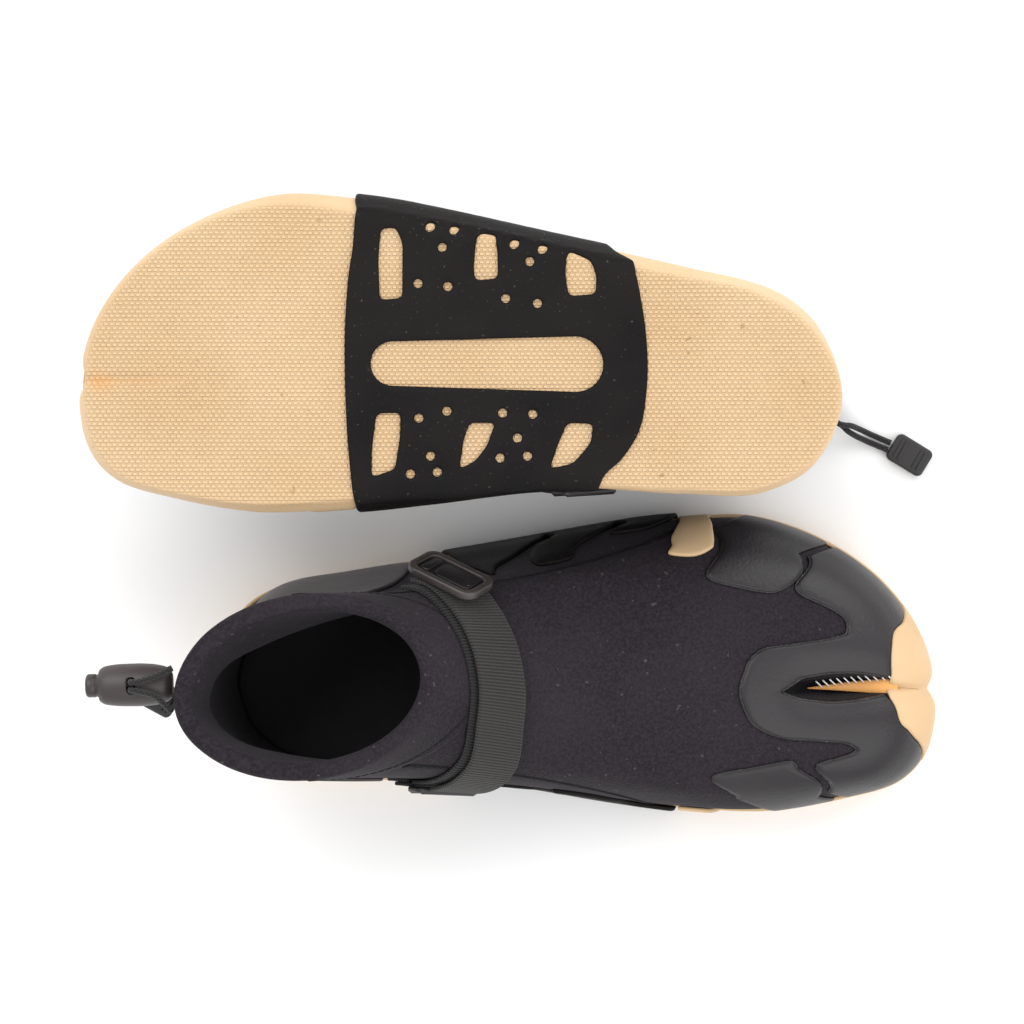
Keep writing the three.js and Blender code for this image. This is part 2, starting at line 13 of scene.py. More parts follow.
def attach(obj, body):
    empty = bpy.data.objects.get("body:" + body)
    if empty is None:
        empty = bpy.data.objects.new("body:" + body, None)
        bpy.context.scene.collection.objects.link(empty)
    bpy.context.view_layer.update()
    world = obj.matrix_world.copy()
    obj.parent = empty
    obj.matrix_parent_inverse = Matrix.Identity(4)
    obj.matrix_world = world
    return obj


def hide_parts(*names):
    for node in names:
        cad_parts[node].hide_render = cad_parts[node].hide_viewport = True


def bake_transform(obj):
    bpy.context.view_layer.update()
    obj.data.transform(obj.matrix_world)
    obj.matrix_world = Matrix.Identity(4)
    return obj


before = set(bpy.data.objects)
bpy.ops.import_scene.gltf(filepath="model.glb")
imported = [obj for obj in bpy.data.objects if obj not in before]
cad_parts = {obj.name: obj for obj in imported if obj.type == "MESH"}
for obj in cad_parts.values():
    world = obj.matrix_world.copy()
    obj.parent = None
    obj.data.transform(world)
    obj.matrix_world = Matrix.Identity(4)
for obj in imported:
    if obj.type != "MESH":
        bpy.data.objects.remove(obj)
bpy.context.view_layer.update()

# ---- dimensions shared with the CAD, in mm ----
COLLAR_HEIGHT = 104.0
COLLAR = {"u": 35.5, "v": 2.0, "long": 46.5, "wide": 33.0, "turn": math.radians(14)}
RUBBER, GAP, NEOPRENE, FLOOR = 1.6, 0.3, 3.0, 4.2
ARCH = {"rise": 2.9, "from": 44, "full": 70, "ease": 186, "to": 210}
OVERLAY = 1.1
WEBBING, STRAP_WIDTH = 1.5, 21.0
CORD, THREAD = 2.3, 1.45
BARREL = {"length": 26.5, "radius": 7.8, "bore": 4.6, "depth": 9.2, "hole": 12.2, "slot": 3.2}
BUTTON = {"radius": 4.3, "out": 5.0, "inside": 3.0}
SPRING = {"turns": 4.5, "radius": 3.1, "wire": 0.25}
CLIP = {"length": 16.0, "width": 11.5, "thick": 3.6}
SOLE_MIDDLE = (140.0, 8.0)
OUTLINE = [(275.5, 1), (270, 24), (254, 46), (232, 60.5), (205, 67.5), (176, 65), (146, 60), (103, 51),
           (60, 42), (30, 35), (10, 21.5), (0, -3), (9, -25.3), (30, -37), (60, -37.6), (103, -35.8),
           (146, -39), (180, -41.5), (212, -43.2), (240, -39.5), (262, -32.5), (272, -21)]
RINGS = np.array([
    [[0, 0, 5.2], [0, 0, 5.2], [0, 0, 5.2]],
    [[-0.01, -0.02, 13], [0, -0.22, 14], [0.1, -0.08, 14]],
    [[0.025, 0.03, 27], [0.06, -0.16, 28], [0.2, -0.08, 28]],
    [[0.11, 0.18, 38], [0.22, 0.22, 43], [0.3, 0.08, 44]],
    [[0.34, 0.45, 49], [0.42, 0.58, 56], [0.42, 0.35, 60]],
    [[0.62, 0.75, 61], [0.64, 0.84, 70], [0.6, 0.65, 77]],
    [[0.87, 0.95, 82], [0.86, 0.97, 88], [0.82, 0.9, 92]],
    [[1, 1, COLLAR_HEIGHT]] * 3])
RIM = 7
SHIFT = np.array([-3.8031, 0.5864, 0.004])        # the pair's middle, as the CAD puts it
PERIMETER = 656.0
RING_MM = 15.0                                    # about one ring's height along the surface

# ---- the camera: straight above the middle of the pair ----
CAMERA_HEIGHT, LENS = 1.214, 108.3
camera = bpy.data.objects.new("camera", bpy.data.cameras.new("camera"))
bpy.context.scene.collection.objects.link(camera)
camera.location = (SHIFT[0] / 1000, SHIFT[1] / 1000, CAMERA_HEIGHT)
camera.data.lens, camera.data.sensor_width = LENS, 36.0
bpy.context.scene.camera = camera


# ---- numbers ----
def smooth(x, low, high):
    x = np.clip((np.asarray(x, float) - low) / (high - low), 0, 1)
    return x * x * (3 - 2 * x)


def catmull(points, closed, count):
    """Points of a centripetal Catmull-Rom curve, and the share of its length at each."""
    p = np.array(points, float)
    n = len(p)
    spans = n if closed else n - 1
    t = np.linspace(0, spans, count)
    i = np.minimum(np.floor(t).astype(int), spans - 1)
    w = (t - i)[:, None]
    if closed:
        q = [p[(i + k) % n] for k in (-1, 0, 1, 2)]
    else:
        wide = np.vstack([2 * p[0] - p[1], p, 2 * p[-1] - p[-2]])
        q = [wide[i + k] for k in range(4)]
    d = [np.maximum(((b - a) ** 2).sum(1) ** 0.25, 1e-4)[:, None] for a, b in zip(q, q[1:])]
    t1 = d[1] * ((q[1] - q[0]) / d[0] - (q[2] - q[0]) / (d[0] + d[1]) + (q[2] - q[1]) / d[1])
    t2 = d[1] * ((q[2] - q[1]) / d[1] - (q[3] - q[1]) / (d[1] + d[2]) + (q[3] - q[2]) / d[2])
    out = q[1] + t1 * w + (3 * (q[2] - q[1]) - 2 * t1 - t2) * w ** 2 + (2 * (q[1] - q[2]) + t1 + t2) * w ** 3
    run = np.r_[0, np.cumsum(np.linalg.norm(np.diff(out, axis=0), axis=1))]
    return out, run


SOLE_POINTS, sole_run = catmull(OUTLINE, True, 6001)
SOLE_SHARE = sole_run / sole_run[-1]


def sole_point(s):
    s = np.mod(s, 1)
    return np.stack([np.interp(s, SOLE_SHARE, SOLE_POINTS[:, k]) for k in (0, 1)], -1)


# The toe split, in plan: its middle line, half width and depth along u.
SPLIT_U = [213, 216, 222, 233, 243, 252, 257, 262, 268, 277]
SPLIT_MIDDLE = [3.6, 3.9, 4.9, 5.0, 5.4, 5.4, 5.2, 4.8, 4.2, 3.6]
SPLIT_HALF = [0.2, 1.6, 4.4, 5.8, 5.5, 4.3, 3.5, 2.6, 2.2, 2.0]
SPLIT_DEPTH = [0.0, 3.5, 9.0, 11.5, 10.0, 7.0, 4.6, 2.4, 1.3, 0.9]


def split_at(u):
    return [np.interp(u, SPLIT_U, table) for table in (SPLIT_MIDDLE, SPLIT_HALF, SPLIT_DEPTH)]


def carve(p):
    """Sinks the toe split and rounds the two toe lobes towards it; a small notch in front."""
    u, v, w = p[..., 0], p[..., 1], p[..., 2]
    middle, half, depth = split_at(u)
    away = np.abs(v - middle)
    top = smooth(w, 16, 27) * smooth(u, 206, 218)
    walls = depth * (1 - smooth(away / half, 0.34, 1.0))
    shoulder = 1.9 * np.exp(-(np.maximum(away - half, 0) / 6.0) ** 2) * smooth(u, 208, 224)
    notch = 3.2 * np.exp(-((v - 3.2) / 4.2) ** 2) * smooth(u, 240, 268)
    out = p.copy()
    out[..., 2] = w - top * (walls + shoulder)
    out[..., 0] = u - notch
    return out


class Boot:
    """One boot's shape. `swing` moves the heel sideways and `slump` moves the collar towards the toe."""

    def __init__(self, name, swing, slump):
        self.name, self.swing, self.slump = name, swing, slump
        self.body = f"boot_{name}"

    def place(self, p):
        p = np.asarray(p, float)
        u, v, w = p[..., 0], p[..., 1], p[..., 2]
        if self.name == "a":
            moved = np.stack([u - 112, v - 72, w], -1)
        else:
            moved = np.stack([120 - u, v + 44.8, COLLAR_HEIGHT - w], -1)
        return (moved + SHIFT) / 1000

    def bend(self, p):
        back = np.clip((190 - p[..., 0]) / 190, 0, 1)
        out = p.copy()
        out[..., 0] += self.slump * (p[..., 2] / COLLAR_HEIGHT) ** 2
        out[..., 1] += self.swing * back ** 1.3
        return out

    def edge(self, s, inset=0.0):
        step = 0.0004
        along = sole_point(np.asarray(s) + step) - sole_point(np.asarray(s) - step)
        along /= np.linalg.norm(along, axis=-1, keepdims=True)
        inset = np.asarray(inset)[..., None] if np.ndim(inset) else inset
        return sole_point(s) + np.stack([-along[..., 1], along[..., 0]], -1) * inset

    def surface(self, s, t, carved=True):
        s, t = np.broadcast_arrays(np.asarray(s, float), np.asarray(t, float))
        base = self.edge(s, RUBBER + 2 * GAP)
        a, b = COLLAR["long"] * np.cos(2 * np.pi * s), COLLAR["wide"] * np.sin(2 * np.pi * s)
        turn = COLLAR["turn"]
        rim = np.stack([COLLAR["u"] + a * math.cos(turn) - b * math.sin(turn),
                        COLLAR["v"] + a * math.sin(turn) + b * math.cos(turn)], -1)
        away = np.abs(np.mod(s + 0.5, 1) - 0.5)
        toe, heel = 1 - smooth(away, 0.08, 0.24), smooth(away, 0.28, 0.46)
        weights = np.stack([toe, 1 - toe - heel, heel], -1)
        i = np.clip(np.floor(t), 0, RIM - 1).astype(int)
        x = (t - i)[..., None]

        def ring(n):
            return np.einsum("...p,...pk->...k", weights, RINGS[np.clip(n, 0, RIM)])
        p1, p2 = ring(i), ring(i + 1)
        before = np.where((i == 0)[..., None], 2 * p1 - p2, ring(i - 1))
        after = np.where((i == RIM - 1)[..., None], 2 * p2 - p1, ring(i + 2))
        value = 0.5 * (2 * p1 + (p2 - before) * x + (2 * before - 5 * p1 + 4 * p2 - after) * x * x
                       + (3 * p1 - before - 3 * p2 + after) * x ** 3)
        plan = base + (rim - base) * value[..., :2]
        p = np.concatenate([plan, value[..., 2:]], -1)
        return self.bend(carve(p) if carved else p)

    def normal(self, s, t, carved=True):
        ds, dt = 0.0012 if carved else 0.004, 0.03
        along = self.surface(s + ds, t, carved) - self.surface(s - ds, t, carved)
        above, below = (self.surface(s, np.clip(t + d, 0, RIM), carved) for d in (dt, -dt))
        n = np.cross(along, above - below)
        return n / np.linalg.norm(n, axis=-1, keepdims=True)

    def skin(self, s, t, off=0.0, carved=True):
        s, t, off = np.broadcast_arrays(*[np.asarray(x, float) for x in (s, t, off)])
        return self.surface(s, t, carved) + self.normal(s, t, carved) * off[..., None]

    def under(self, s, share, inset, height):
        """A point under the boot: `share` of the way from the sole's middle to its edge."""
        s = np.asarray(s, float)
        edge = self.edge(s, inset)
        plan = np.array(SOLE_MIDDLE) + (edge - np.array(SOLE_MIDDLE)) * share
        return self.bend(np.stack([plan[..., 0], plan[..., 1],
                                   height + arch(plan[..., 0]) * (height < FLOOR)], -1))


def arch(u):
    return ARCH["rise"] * smooth(u, ARCH["from"], ARCH["full"]) * (1 - smooth(u, ARCH["ease"], ARCH["to"]))


BOOTS = [Boot("a", 9, 0), Boot("b", 0, 24)]
BOOT_A = BOOTS[0]


# ---- meshes ----
def new_object(name, verts, faces, boot=None, uvs=None, smooth_faces=True, point_values=None):
    """A mesh object from points in a boot's frame, or in metres where `boot` is None."""
    verts = np.asarray(verts, float).reshape(-1, 3)
    if boot is not None:
        verts = boot.place(verts)
    data = bpy.data.meshes.new(name)
    data.from_pydata(verts.tolist(), [], [list(map(int, f)) for f in faces])
    if uvs is not None:
        layer = data.uv_layers.new(name="cloth")
        loops = np.zeros(len(data.loops), int)
        data.loops.foreach_get("vertex_index", loops)
        layer.data.foreach_set("uv", np.asarray(uvs, np.float32)[loops].ravel())
    for key, values in (point_values or {}).items():
        data.attributes.new(key, "FLOAT", "POINT").data.foreach_set("value", np.asarray(values, np.float32))
    work = bmesh.new()
    work.from_mesh(data)
    bmesh.ops.recalc_face_normals(work, faces=work.faces)
    work.to_mesh(data)
    work.free()
    data.polygons.foreach_set("use_smooth", [smooth_faces] * len(data.polygons))
    thing = bpy.data.objects.new(name, data)
    bpy.context.scene.collection.objects.link(thing)
    return thing


def grid_faces(rows, across, close_rows=False, close_across=False):
    """Quads between the points of a grid, wrapped round either way where it closes."""
    i, j = np.meshgrid(np.arange(rows if close_rows else rows - 1),
                       np.arange(across if close_across else across - 1), indexing="ij")
    i2, j2 = (i + 1) % rows, (j + 1) % across
    quads = np.stack([i * across + j, i * across + j2, i2 * across + j2, i2 * across + j], -1)
    return quads.reshape(-1, 4)


def tube(points, radius, sides=8, flat=1.0):
    """A closed tube along a line of points: vertices, faces and UVs (along, around), all in mm."""
    p = np.asarray(points, float)
    along = np.gradient(p, axis=0)
    along /= np.linalg.norm(along, axis=1, keepdims=True)
    side = np.cross(along[0], [0.31, 0.17, 0.94])
    frames = []
    for a in along:
        side = side - a * side.dot(a)
        side /= np.linalg.norm(side)
        frames.append((side, np.cross(a, side)))
    angle = np.linspace(0, 2 * np.pi, sides, endpoint=False)
    radius = np.broadcast_to(radius, len(p))
    verts = [c + r * (np.outer(np.cos(angle), x) + flat * np.outer(np.sin(angle), y))
             for c, r, (x, y) in zip(p, radius, frames)]
    run = np.r_[0, np.cumsum(np.linalg.norm(np.diff(p, axis=0), axis=1))]
    uvs = np.array([(r, a / (2 * np.pi)) for r in run for a in angle])
    return *moulding(verts), uvs


def plain(verts, faces):
    """A shape for `joined` that needs no UVs."""
    return verts, faces, np.zeros((len(verts), 2))


def joined(parts):
    """Several (vertices, faces, uvs) as one."""
    verts, faces, uvs, start = [], [], [], 0
    for v, f, t in parts:
        verts.append(v)
        faces += [[int(i) + start for i in face] for face in f]
        uvs.append(t)
        start += len(v)
    return np.concatenate(verts), faces, np.concatenate(uvs)


def inside(points, loops):
    """Even-odd test of points against closed loops."""
    x, y = points[:, 0][:, None], points[:, 1][:, None]
    hit = np.zeros(len(points), int)
    for loop in loops:
        a, b = loop, np.roll(loop, -1, axis=0)
        crosses = (a[:, 1] > y) != (b[:, 1] > y)
        with np.errstate(divide="ignore", invalid="ignore"):
            at = a[:, 0] + (y - a[:, 1]) / (b[:, 1] - a[:, 1]) * (b[:, 0] - a[:, 0])
        hit += (crosses & (x < at)).sum(1)
    return hit % 2 == 1


def distance(points, loops):
    """The distance from each point to the nearest of the closed loops."""
    best = np.full(len(points), 1e9)
    for loop in loops:
        a, b = loop, np.roll(loop, -1, axis=0)
        ab = b - a
        k = np.clip(((points[:, None] - a) * ab).sum(-1) / np.maximum((ab ** 2).sum(-1), 1e-12), 0, 1)
        best = np.minimum(best, np.linalg.norm(points[:, None] - (a + ab * k[..., None]), axis=-1).min(1))
    return best


def refined(loop, step):
    """A closed loop of points no further apart than about `step`."""
    loop = np.asarray(loop, float)
    out = []
    for a, b in zip(loop, np.roll(loop, -1, axis=0)):
        n = max(1, int(np.ceil(np.linalg.norm(b - a) / step)))
        out += [a + (b - a) * k / n for k in range(n)]
    return np.array(out)


def slab(loops, lift, low, high, step, edge_round):
    """A plate over the area inside `loops` (a plan in mm), lifted to 3-D by lift(points, offset), between
    two offsets, with rounded upper edges."""
    loops = [refined(loop, step * 0.6) for loop in loops]
    lo, hi = loops[0].min(0), loops[0].max(0)
    xs, ys = np.arange(lo[0], hi[0], step), np.arange(lo[1], hi[1], step)
    cells = np.stack(np.meshgrid(xs, ys, indexing="ij"), -1).reshape(-1, 2)
    rings = []
    for loop in loops:
        way = np.roll(loop, -1, axis=0) - np.roll(loop, 1, axis=0)
        way /= np.maximum(np.linalg.norm(way, axis=1, keepdims=True), 1e-9)
        for inset in (0.3 * edge_round, edge_round):
            for turn in (-1, 1):
                ring = loop + turn * inset * np.stack([-way[:, 1], way[:, 0]], -1)
                rings.append(ring[distance(ring, loops) > inset * 0.85])
    cells = cells[distance(cells, loops) > edge_round + 0.45 * step]
    points = np.concatenate([*loops, *rings, cells])
    n_edge = sum(len(loop) for loop in loops)
    keep = np.r_[np.ones(n_edge, bool), inside(points[n_edge:], loops)]
    points = points[keep]
    edges, start = [], 0
    for loop in loops:
        n = len(loop)
        edges += [(start + i, start + (i + 1) % n) for i in range(n)]
        start += n
    out, _, faces, *_ = delaunay_2d_cdt([Vector(p) for p in points], edges, [], 0, 1e-5)
    flat = np.array([tuple(p) for p in out])
    faces = np.array([f for f in faces if len(f) == 3])
    faces = faces[inside(flat[faces].mean(1), loops)]
    used = np.unique(faces)
    index = np.full(len(flat), -1)
    index[used] = np.arange(len(used))
    flat, faces = flat[used], index[faces]
    away = np.clip(distance(flat, loops) / edge_round, 0, 1)
    top = high - (high - low) * 0.62 * (1 - np.sqrt(1 - (1 - away) ** 2))
    verts = np.concatenate([lift(flat, top), lift(flat, np.full(len(flat), low))])
    count = {}
    for face in faces:
        for a, b in zip(face, np.roll(face, -1)):
            count.setdefault((min(a, b), max(a, b)), []).append((a, b))
    n = len(flat)
    all_faces = [list(f) for f in faces] + [[f[2] + n, f[1] + n, f[0] + n] for f in faces]
    all_faces += [[b, a, a + n, b + n] for pairs in count.values() if len(pairs) == 1 for a, b in pairs]
    return verts, all_faces, np.concatenate([flat, flat])


def stand(at, along, up):
    """A function that moves local points so that X runs along `along` and Z along `up`, at `at`."""
    z = np.array(up, float) / np.linalg.norm(up)
    y = np.cross(z, along)
    y /= np.linalg.norm(y)
    basis = np.array([np.cross(y, z), y, z])
    return lambda p: np.asarray(at, float) + np.asarray(p, float) @ basis


def rounded_rect(length, width, radius, steps=8):
    corners = []
    for sx, sy, start in ((1, 1, 0), (-1, 1, 90), (-1, -1, 180), (1, -1, 270)):
        for i in range(steps + 1):
            angle = math.radians(start + 90 * i / steps)
            corners.append((sx * (length / 2 - radius) + math.cos(angle) * radius,
                            sy * (width / 2 - radius) + math.sin(angle) * radius))
    return np.array(corners)


def moulding(rings):
    """A closed solid of stacked rings of the same number of points, capped at both ends."""
    rings = [np.asarray(r, float) for r in rings]
    n, total = len(rings[0]), len(rings) * len(rings[0])
    faces = [list(f) for f in grid_faces(len(rings), n, close_across=True)]
    return np.concatenate(rings), faces + [list(range(n)), list(range(total - n, total))]


def plate_rings(outline, thick, bevel, steps=4):
    """Rings of a flat plate with rounded edges: each ring is the outline drawn in a little."""
    centre_out = np.asarray(outline, float)
    way = np.roll(centre_out, -1, axis=0) - np.roll(centre_out, 1, axis=0)
    way /= np.linalg.norm(way, axis=1, keepdims=True)
    inward = np.stack([-way[:, 1], way[:, 0]], -1)
    rings = []
    for side in (0, 1):
        for k in range(steps + 1):
            angle = math.pi / 2 * k / steps
            inset = bevel * (1 - (math.sin(angle) if side == 0 else math.cos(angle)))
            z = bevel * (1 - math.cos(angle)) if side == 0 else thick - bevel * (1 - math.sin(angle))
            rings.append(np.c_[centre_out + inward * inset, np.full(len(centre_out), z)])
    return rings


# ---- materials ----
def linear(*rgb):
    """An sRGB colour of 0 to 255 as the linear RGBA that a shader socket takes."""
    return tuple(((c / 255 + 0.055) / 1.055) ** 2.4 if c > 10 else c / 3294 for c in rgb) + (1,)


class Look:
    """A node material under construction."""

    def __init__(self, name, roughness, metallic=0.0, specular=0.5, sheen=0.0):
        self.material = bpy.data.materials.new(name)
        self.material.use_nodes = True
        self.nodes, self.links = self.material.node_tree.nodes, self.material.node_tree.links
        self.shader = self.nodes["Principled BSDF"]
        for socket, value in (("Roughness", roughness), ("Metallic", metallic),
                              ("Specular IOR Level", specular), ("Sheen Weight", sheen)):
            self.shader.inputs[socket].default_value = value
        self.where = self.nodes.new("ShaderNodeTexCoord").outputs["Object"]

    def add(self, kind, inputs=(), **settings):
        node = self.nodes.new("ShaderNode" + kind)
        for key, value in settings.items():
            setattr(node, key, value)
        for key, value in dict(inputs).items():
            if isinstance(value, bpy.types.NodeSocket):
                self.links.new(value, node.inputs[key])
            else:
                node.inputs[key].default_value = value
        return node

    def value(self, name):
        """A value that the mesh's own points carry."""
        return self.add("Attribute", attribute_name=name).outputs["Fac"]

    def cloth_uv(self, scale):
        uv = self.add("UVMap", uv_map="cloth").outputs["UV"]
        return self.add("Mapping", {"Vector": uv, "Scale": scale}).outputs["Vector"]

    def noise(self, scale, detail=3.0):
        inputs = {"Vector": self.where, "Scale": scale, "Detail": detail}
        return self.add("TexNoise", inputs).outputs["Fac"]

    def ramp(self, value, low, high, to_low=0.0, to_high=1.0):
        return self.add("MapRange", {"Value": value, "From Min": low, "From Max": high, "To Min": to_low,
                                     "To Max": to_high}).outputs["Result"]

    def maths(self, operation, a, b):
        return self.add("Math", {0: a, 1: b}, operation=operation).outputs[0]

    def mix(self, factor, a, b):
        return self.add("Mix", {0: factor, 6: a, 7: b}, data_type="RGBA").outputs[2]

    def colour(self, value):
        self.links.new(value, self.shader.inputs["Base Color"])

    def rough(self, value):
        self.links.new(value, self.shader.inputs["Roughness"])

    def bump(self, *layers):
        """Each layer is (height, depth in metres)."""
        normal = None
        for height, depth in layers:
            node = self.add("Bump", {"Height": height, "Distance": depth, "Strength": 1.0})
            if normal is not None:
                self.links.new(normal, node.inputs["Normal"])
            normal = node.outputs["Normal"]
        self.links.new(normal, self.shader.inputs["Normal"])


def neoprene_look():
    """Knitted nylon over foam: near black with a purple cast, a fine knit and some pale lint, with painted
    shade inside the toe split where the dark value is set.
    """
    k = Look("neoprene_knit", 0.86, specular=0.22, sheen=0.04)
    knit = k.add("TexVoronoi", {"Vector": k.where, "Scale": 1500.0}).outputs["Distance"]
    mottle, broad = k.noise(900.0, 4.0), k.noise(22.0, 3.0)
    lint = k.ramp(k.noise(420.0, 1.0), 0.735, 0.76)
    base = k.mix(k.ramp(mottle, 0.38, 0.66), linear(25, 21, 27), linear(41, 36, 42))
    base = k.mix(k.ramp(broad, 0.4, 0.7, 0.0, 0.3), base, linear(50, 44, 50))
    base = k.mix(k.maths("MULTIPLY", lint, 0.35), base, linear(100, 92, 92))
    # Painted shade: where the dark value is set, inside the toe split, the knit goes nearly black.
    k.colour(k.mix(k.value("dark"), base, linear(20, 18, 21)))
    k.bump((broad, 0.0007), (knit, 0.00022), (mottle, 0.00012))
    return k.material


def gum_look():
    """Pale gum rubber: the tread value brings up the staggered grain of the sole, with painted shade in its
    grooves, and the tan value a deeper tan, for wear and the gusset's colour, and painted shade along the toe
    crease.
    """
    k = Look("gum_rubber", 0.62, specular=0.4)
    tread, tan = k.value("tread"), k.value("tan")
    cell, row, groove = 2.1, 1.5, 0.5             # the grain, in mm
    brick = k.add("TexBrick", {"Vector": k.where, "Scale": 1000.0, "Mortar Size": groove,
                               "Mortar Smooth": 1.0, "Brick Width": cell, "Row Height": row,
                               "Color1": (1, 1, 1, 1), "Color2": (0.8, 0.8, 0.8, 1),
                               "Mortar": (0, 0, 0, 1)}).outputs["Color"]
    grain = k.maths("MULTIPLY", brick, tread)
    broad, fine = k.noise(18.0, 4.0), k.noise(1300.0, 2.0)
    base = k.mix(k.ramp(broad, 0.35, 0.7), linear(214, 184, 145), linear(205, 172, 131))
    # Painted shade: the grain's grooves darkened where the tread value is set.
    groove_shade = k.maths("MULTIPLY", tread, k.ramp(brick, 0.0, 1.0, 0.34, 0.0))
    base = k.mix(groove_shade, base, linear(176, 142, 98))
    # The tan value: real wear, the gusset's deeper tan, and painted shade along the toe crease.
    base = k.mix(tan, base, linear(222, 160, 92))
    speck = k.ramp(k.noise(260.0, 1.0), 0.76, 0.79, 0.0, 0.5)
    k.colour(k.mix(speck, base, linear(150, 120, 84)))
    k.rough(k.ramp(broad, 0.3, 0.7, 0.55, 0.72))
    k.bump((grain, 0.00045), (fine, 0.00008))
    return k.material


def rubber_look(name, dark, light, rough, grain, dust_and_glints=0.0, scale=700.0, specular=0.4):
    """Matt or glossy rubber, foam, board or thread between two colours, with or without pale specks, which are
    dust on the harness and painted glints on the glue edge.
    """
    k = Look(name, rough, specular=specular)
    broad, fine = k.noise(25.0, 4.0), k.noise(scale, 3.0)
    base = k.mix(k.ramp(broad, 0.35, 0.68), dark, light)
    if dust_and_glints:
        # Pale specks: real dust on the harness, painted highlights standing in for glints on the glue edge.
        dust_and_glint_specks = k.ramp(k.noise(800.0, 2.0), 0.68, 0.75, 0.0, dust_and_glints)
        base = k.mix(dust_and_glint_specks, base, linear(150, 140, 130))
    k.colour(base)
    k.rough(k.ramp(broad, 0.3, 0.7, rough - 0.07, rough + 0.08))
    k.bump((fine, grain))
    return k.material


def webbing_look(name, dark, light, rib=1.25, pick=0.9):
    """Flat woven webbing: ribs across the strap, each broken into its picks, along the cloth's own UVs."""
    k = Look(name, 0.8, specular=0.3, sheen=0.1)
    one_wave = 0.314                              # the texture's scale at which a wave is one unit long

    def bands(scale, direction):
        inputs = {"Vector": k.cloth_uv(scale), "Scale": one_wave, "Distortion": 0.5, "Detail": 1.0}
        return k.add("TexWave", inputs, bands_direction=direction).outputs["Fac"]
    ribs, picks = bands((1 / rib, 0.0, 0.0), "X"), bands((0.0, 1 / pick, 0.0), "Y")
    weave = k.maths("MULTIPLY", ribs, k.ramp(picks, 0.0, 1.0, 0.55, 1.0))
    fuzz, broad = k.noise(1500.0, 3.0), k.noise(30.0, 2.0)
    base = k.mix(k.ramp(weave, 0.0, 1.0), dark, light)
    k.colour(k.mix(k.ramp(broad, 0.4, 0.7, 0.0, 0.3), base, dark))
    k.bump((weave, 0.00045), (fuzz, 0.0001))
    return k.material


def braid_look():
    """A round braided cord: two sets of strands wound against each other."""
    k = Look("braided_cord", 0.6, specular=0.4, sheen=0.1)
    uv = k.cloth_uv((1.0, 1.0, 1.0))
    parts = k.add("SeparateXYZ", {"Vector": uv}).outputs
    lay, strands = 1.9, 6.0

    def strand(sign):
        turn = k.maths("MULTIPLY", parts[1], strands * 2 * math.pi * sign)
        along = k.maths("MULTIPLY", parts[0], 2 * math.pi / lay)
        return k.maths("SINE", k.maths("ADD", turn, along), 0.0)
    weave = k.maths("MAXIMUM", strand(1), strand(-1))
    k.colour(k.mix(k.ramp(weave, 0.0, 1.0), linear(10, 9, 10), linear(30, 28, 29)))
    k.bump((weave, 0.00025))
    return k.material


def plastic_look(name, dark, light, rough):
    k = Look(name, rough, specular=0.5)
    broad, fine = k.noise(60.0, 3.0), k.noise(1800.0, 2.0)
    k.colour(k.mix(k.ramp(broad, 0.35, 0.7), dark, light))
    k.rough(k.ramp(broad, 0.3, 0.7, rough - 0.06, rough + 0.08))
    k.bump((fine, 0.00006))
    return k.material


def metal_look():
    k = Look("spring_steel", 0.32, metallic=1.0)
    k.colour(k.mix(k.ramp(k.noise(300.0), 0.3, 0.7), linear(150, 150, 152), linear(190, 190, 192)))
    k.bump((k.noise(2000.0), 0.00003))
    return k.material


LOOKS = {
    "neoprene": neoprene_look(),
    "gum": gum_look(),
    "overlay": rubber_look("overlay_rubber", linear(28, 25, 28), linear(39, 36, 38), 0.4, 0.00012),
    # Painted highlights: the glue edge's pale specks stand in for the glints on its glossy bead.
    "glue": rubber_look("glue_edge", linear(19, 18, 20), linear(36, 33, 34), 0.3, 0.0003, 0.25, 900.0),
    "harness": rubber_look("harness_rubber", linear(14, 12, 12), linear(26, 23, 22), 0.58, 0.00014, 0.16,
                           specular=0.12),
    "patch": rubber_look("ankle_rubber", linear(50, 46, 47), linear(66, 61, 61), 0.34, 0.0001),
    "webbing": webbing_look("webbing_grey", linear(28, 27, 27), linear(64, 62, 59)),
    "webbing_black": webbing_look("webbing_black", linear(18, 17, 18), linear(44, 42, 42)),
    "cord": braid_look(),
    "plastic": plastic_look("moulded_black", linear(26, 24, 25), linear(40, 37, 38), 0.34),
    "barrel": plastic_look("moulded_brown", linear(46, 40, 39), linear(60, 53, 52), 0.42),
    "badge": plastic_look("moulded_taupe", linear(50, 46, 44), linear(68, 62, 59), 0.36),
    "clip": plastic_look("moulded_clip", linear(22, 20, 21), linear(36, 33, 35), 0.42),
    "thread": rubber_look("thread_black", linear(9, 8, 9), linear(22, 20, 22), 0.6, 0.0002, specular=0.25),
    "white_thread": rubber_look("thread_white", linear(214, 212, 214), linear(240, 238, 240), 0.6, 0.0001),
    "foam": rubber_look("foam_cover", linear(30, 28, 31), linear(46, 43, 47), 0.9, 0.0003),
    "board": rubber_look("board_fibre", linear(120, 110, 92), linear(150, 138, 116), 0.9, 0.0003),
    "steel": metal_look(),
}


def finish_piece(thing, look, slot, body, *nodes):
    thing.data.materials.clear()
    thing.data.materials.append(LOOKS[look])
    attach(thing, body)
    if nodes:
        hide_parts(*nodes)


def add_piece(boot, name, shape, look, slot, nodes=(), body="", **values):
    """Adds one piece: `shape` is its vertices, faces and perhaps UVs, `nodes` are the CAD nodes it stands for,
    and `body` ends the name of the moving body it rides, or is empty for the boot's own."""
    uvs = shape[2] if len(shape) > 2 else None
    thing = new_object(f"boot_{boot.name}_{name}", *shape[:2], boot, uvs, point_values=values)
    finish_piece(thing, look, slot, boot.body + body, *[f"boot_{boot.name}_{node}" for node in nodes])
    return thing


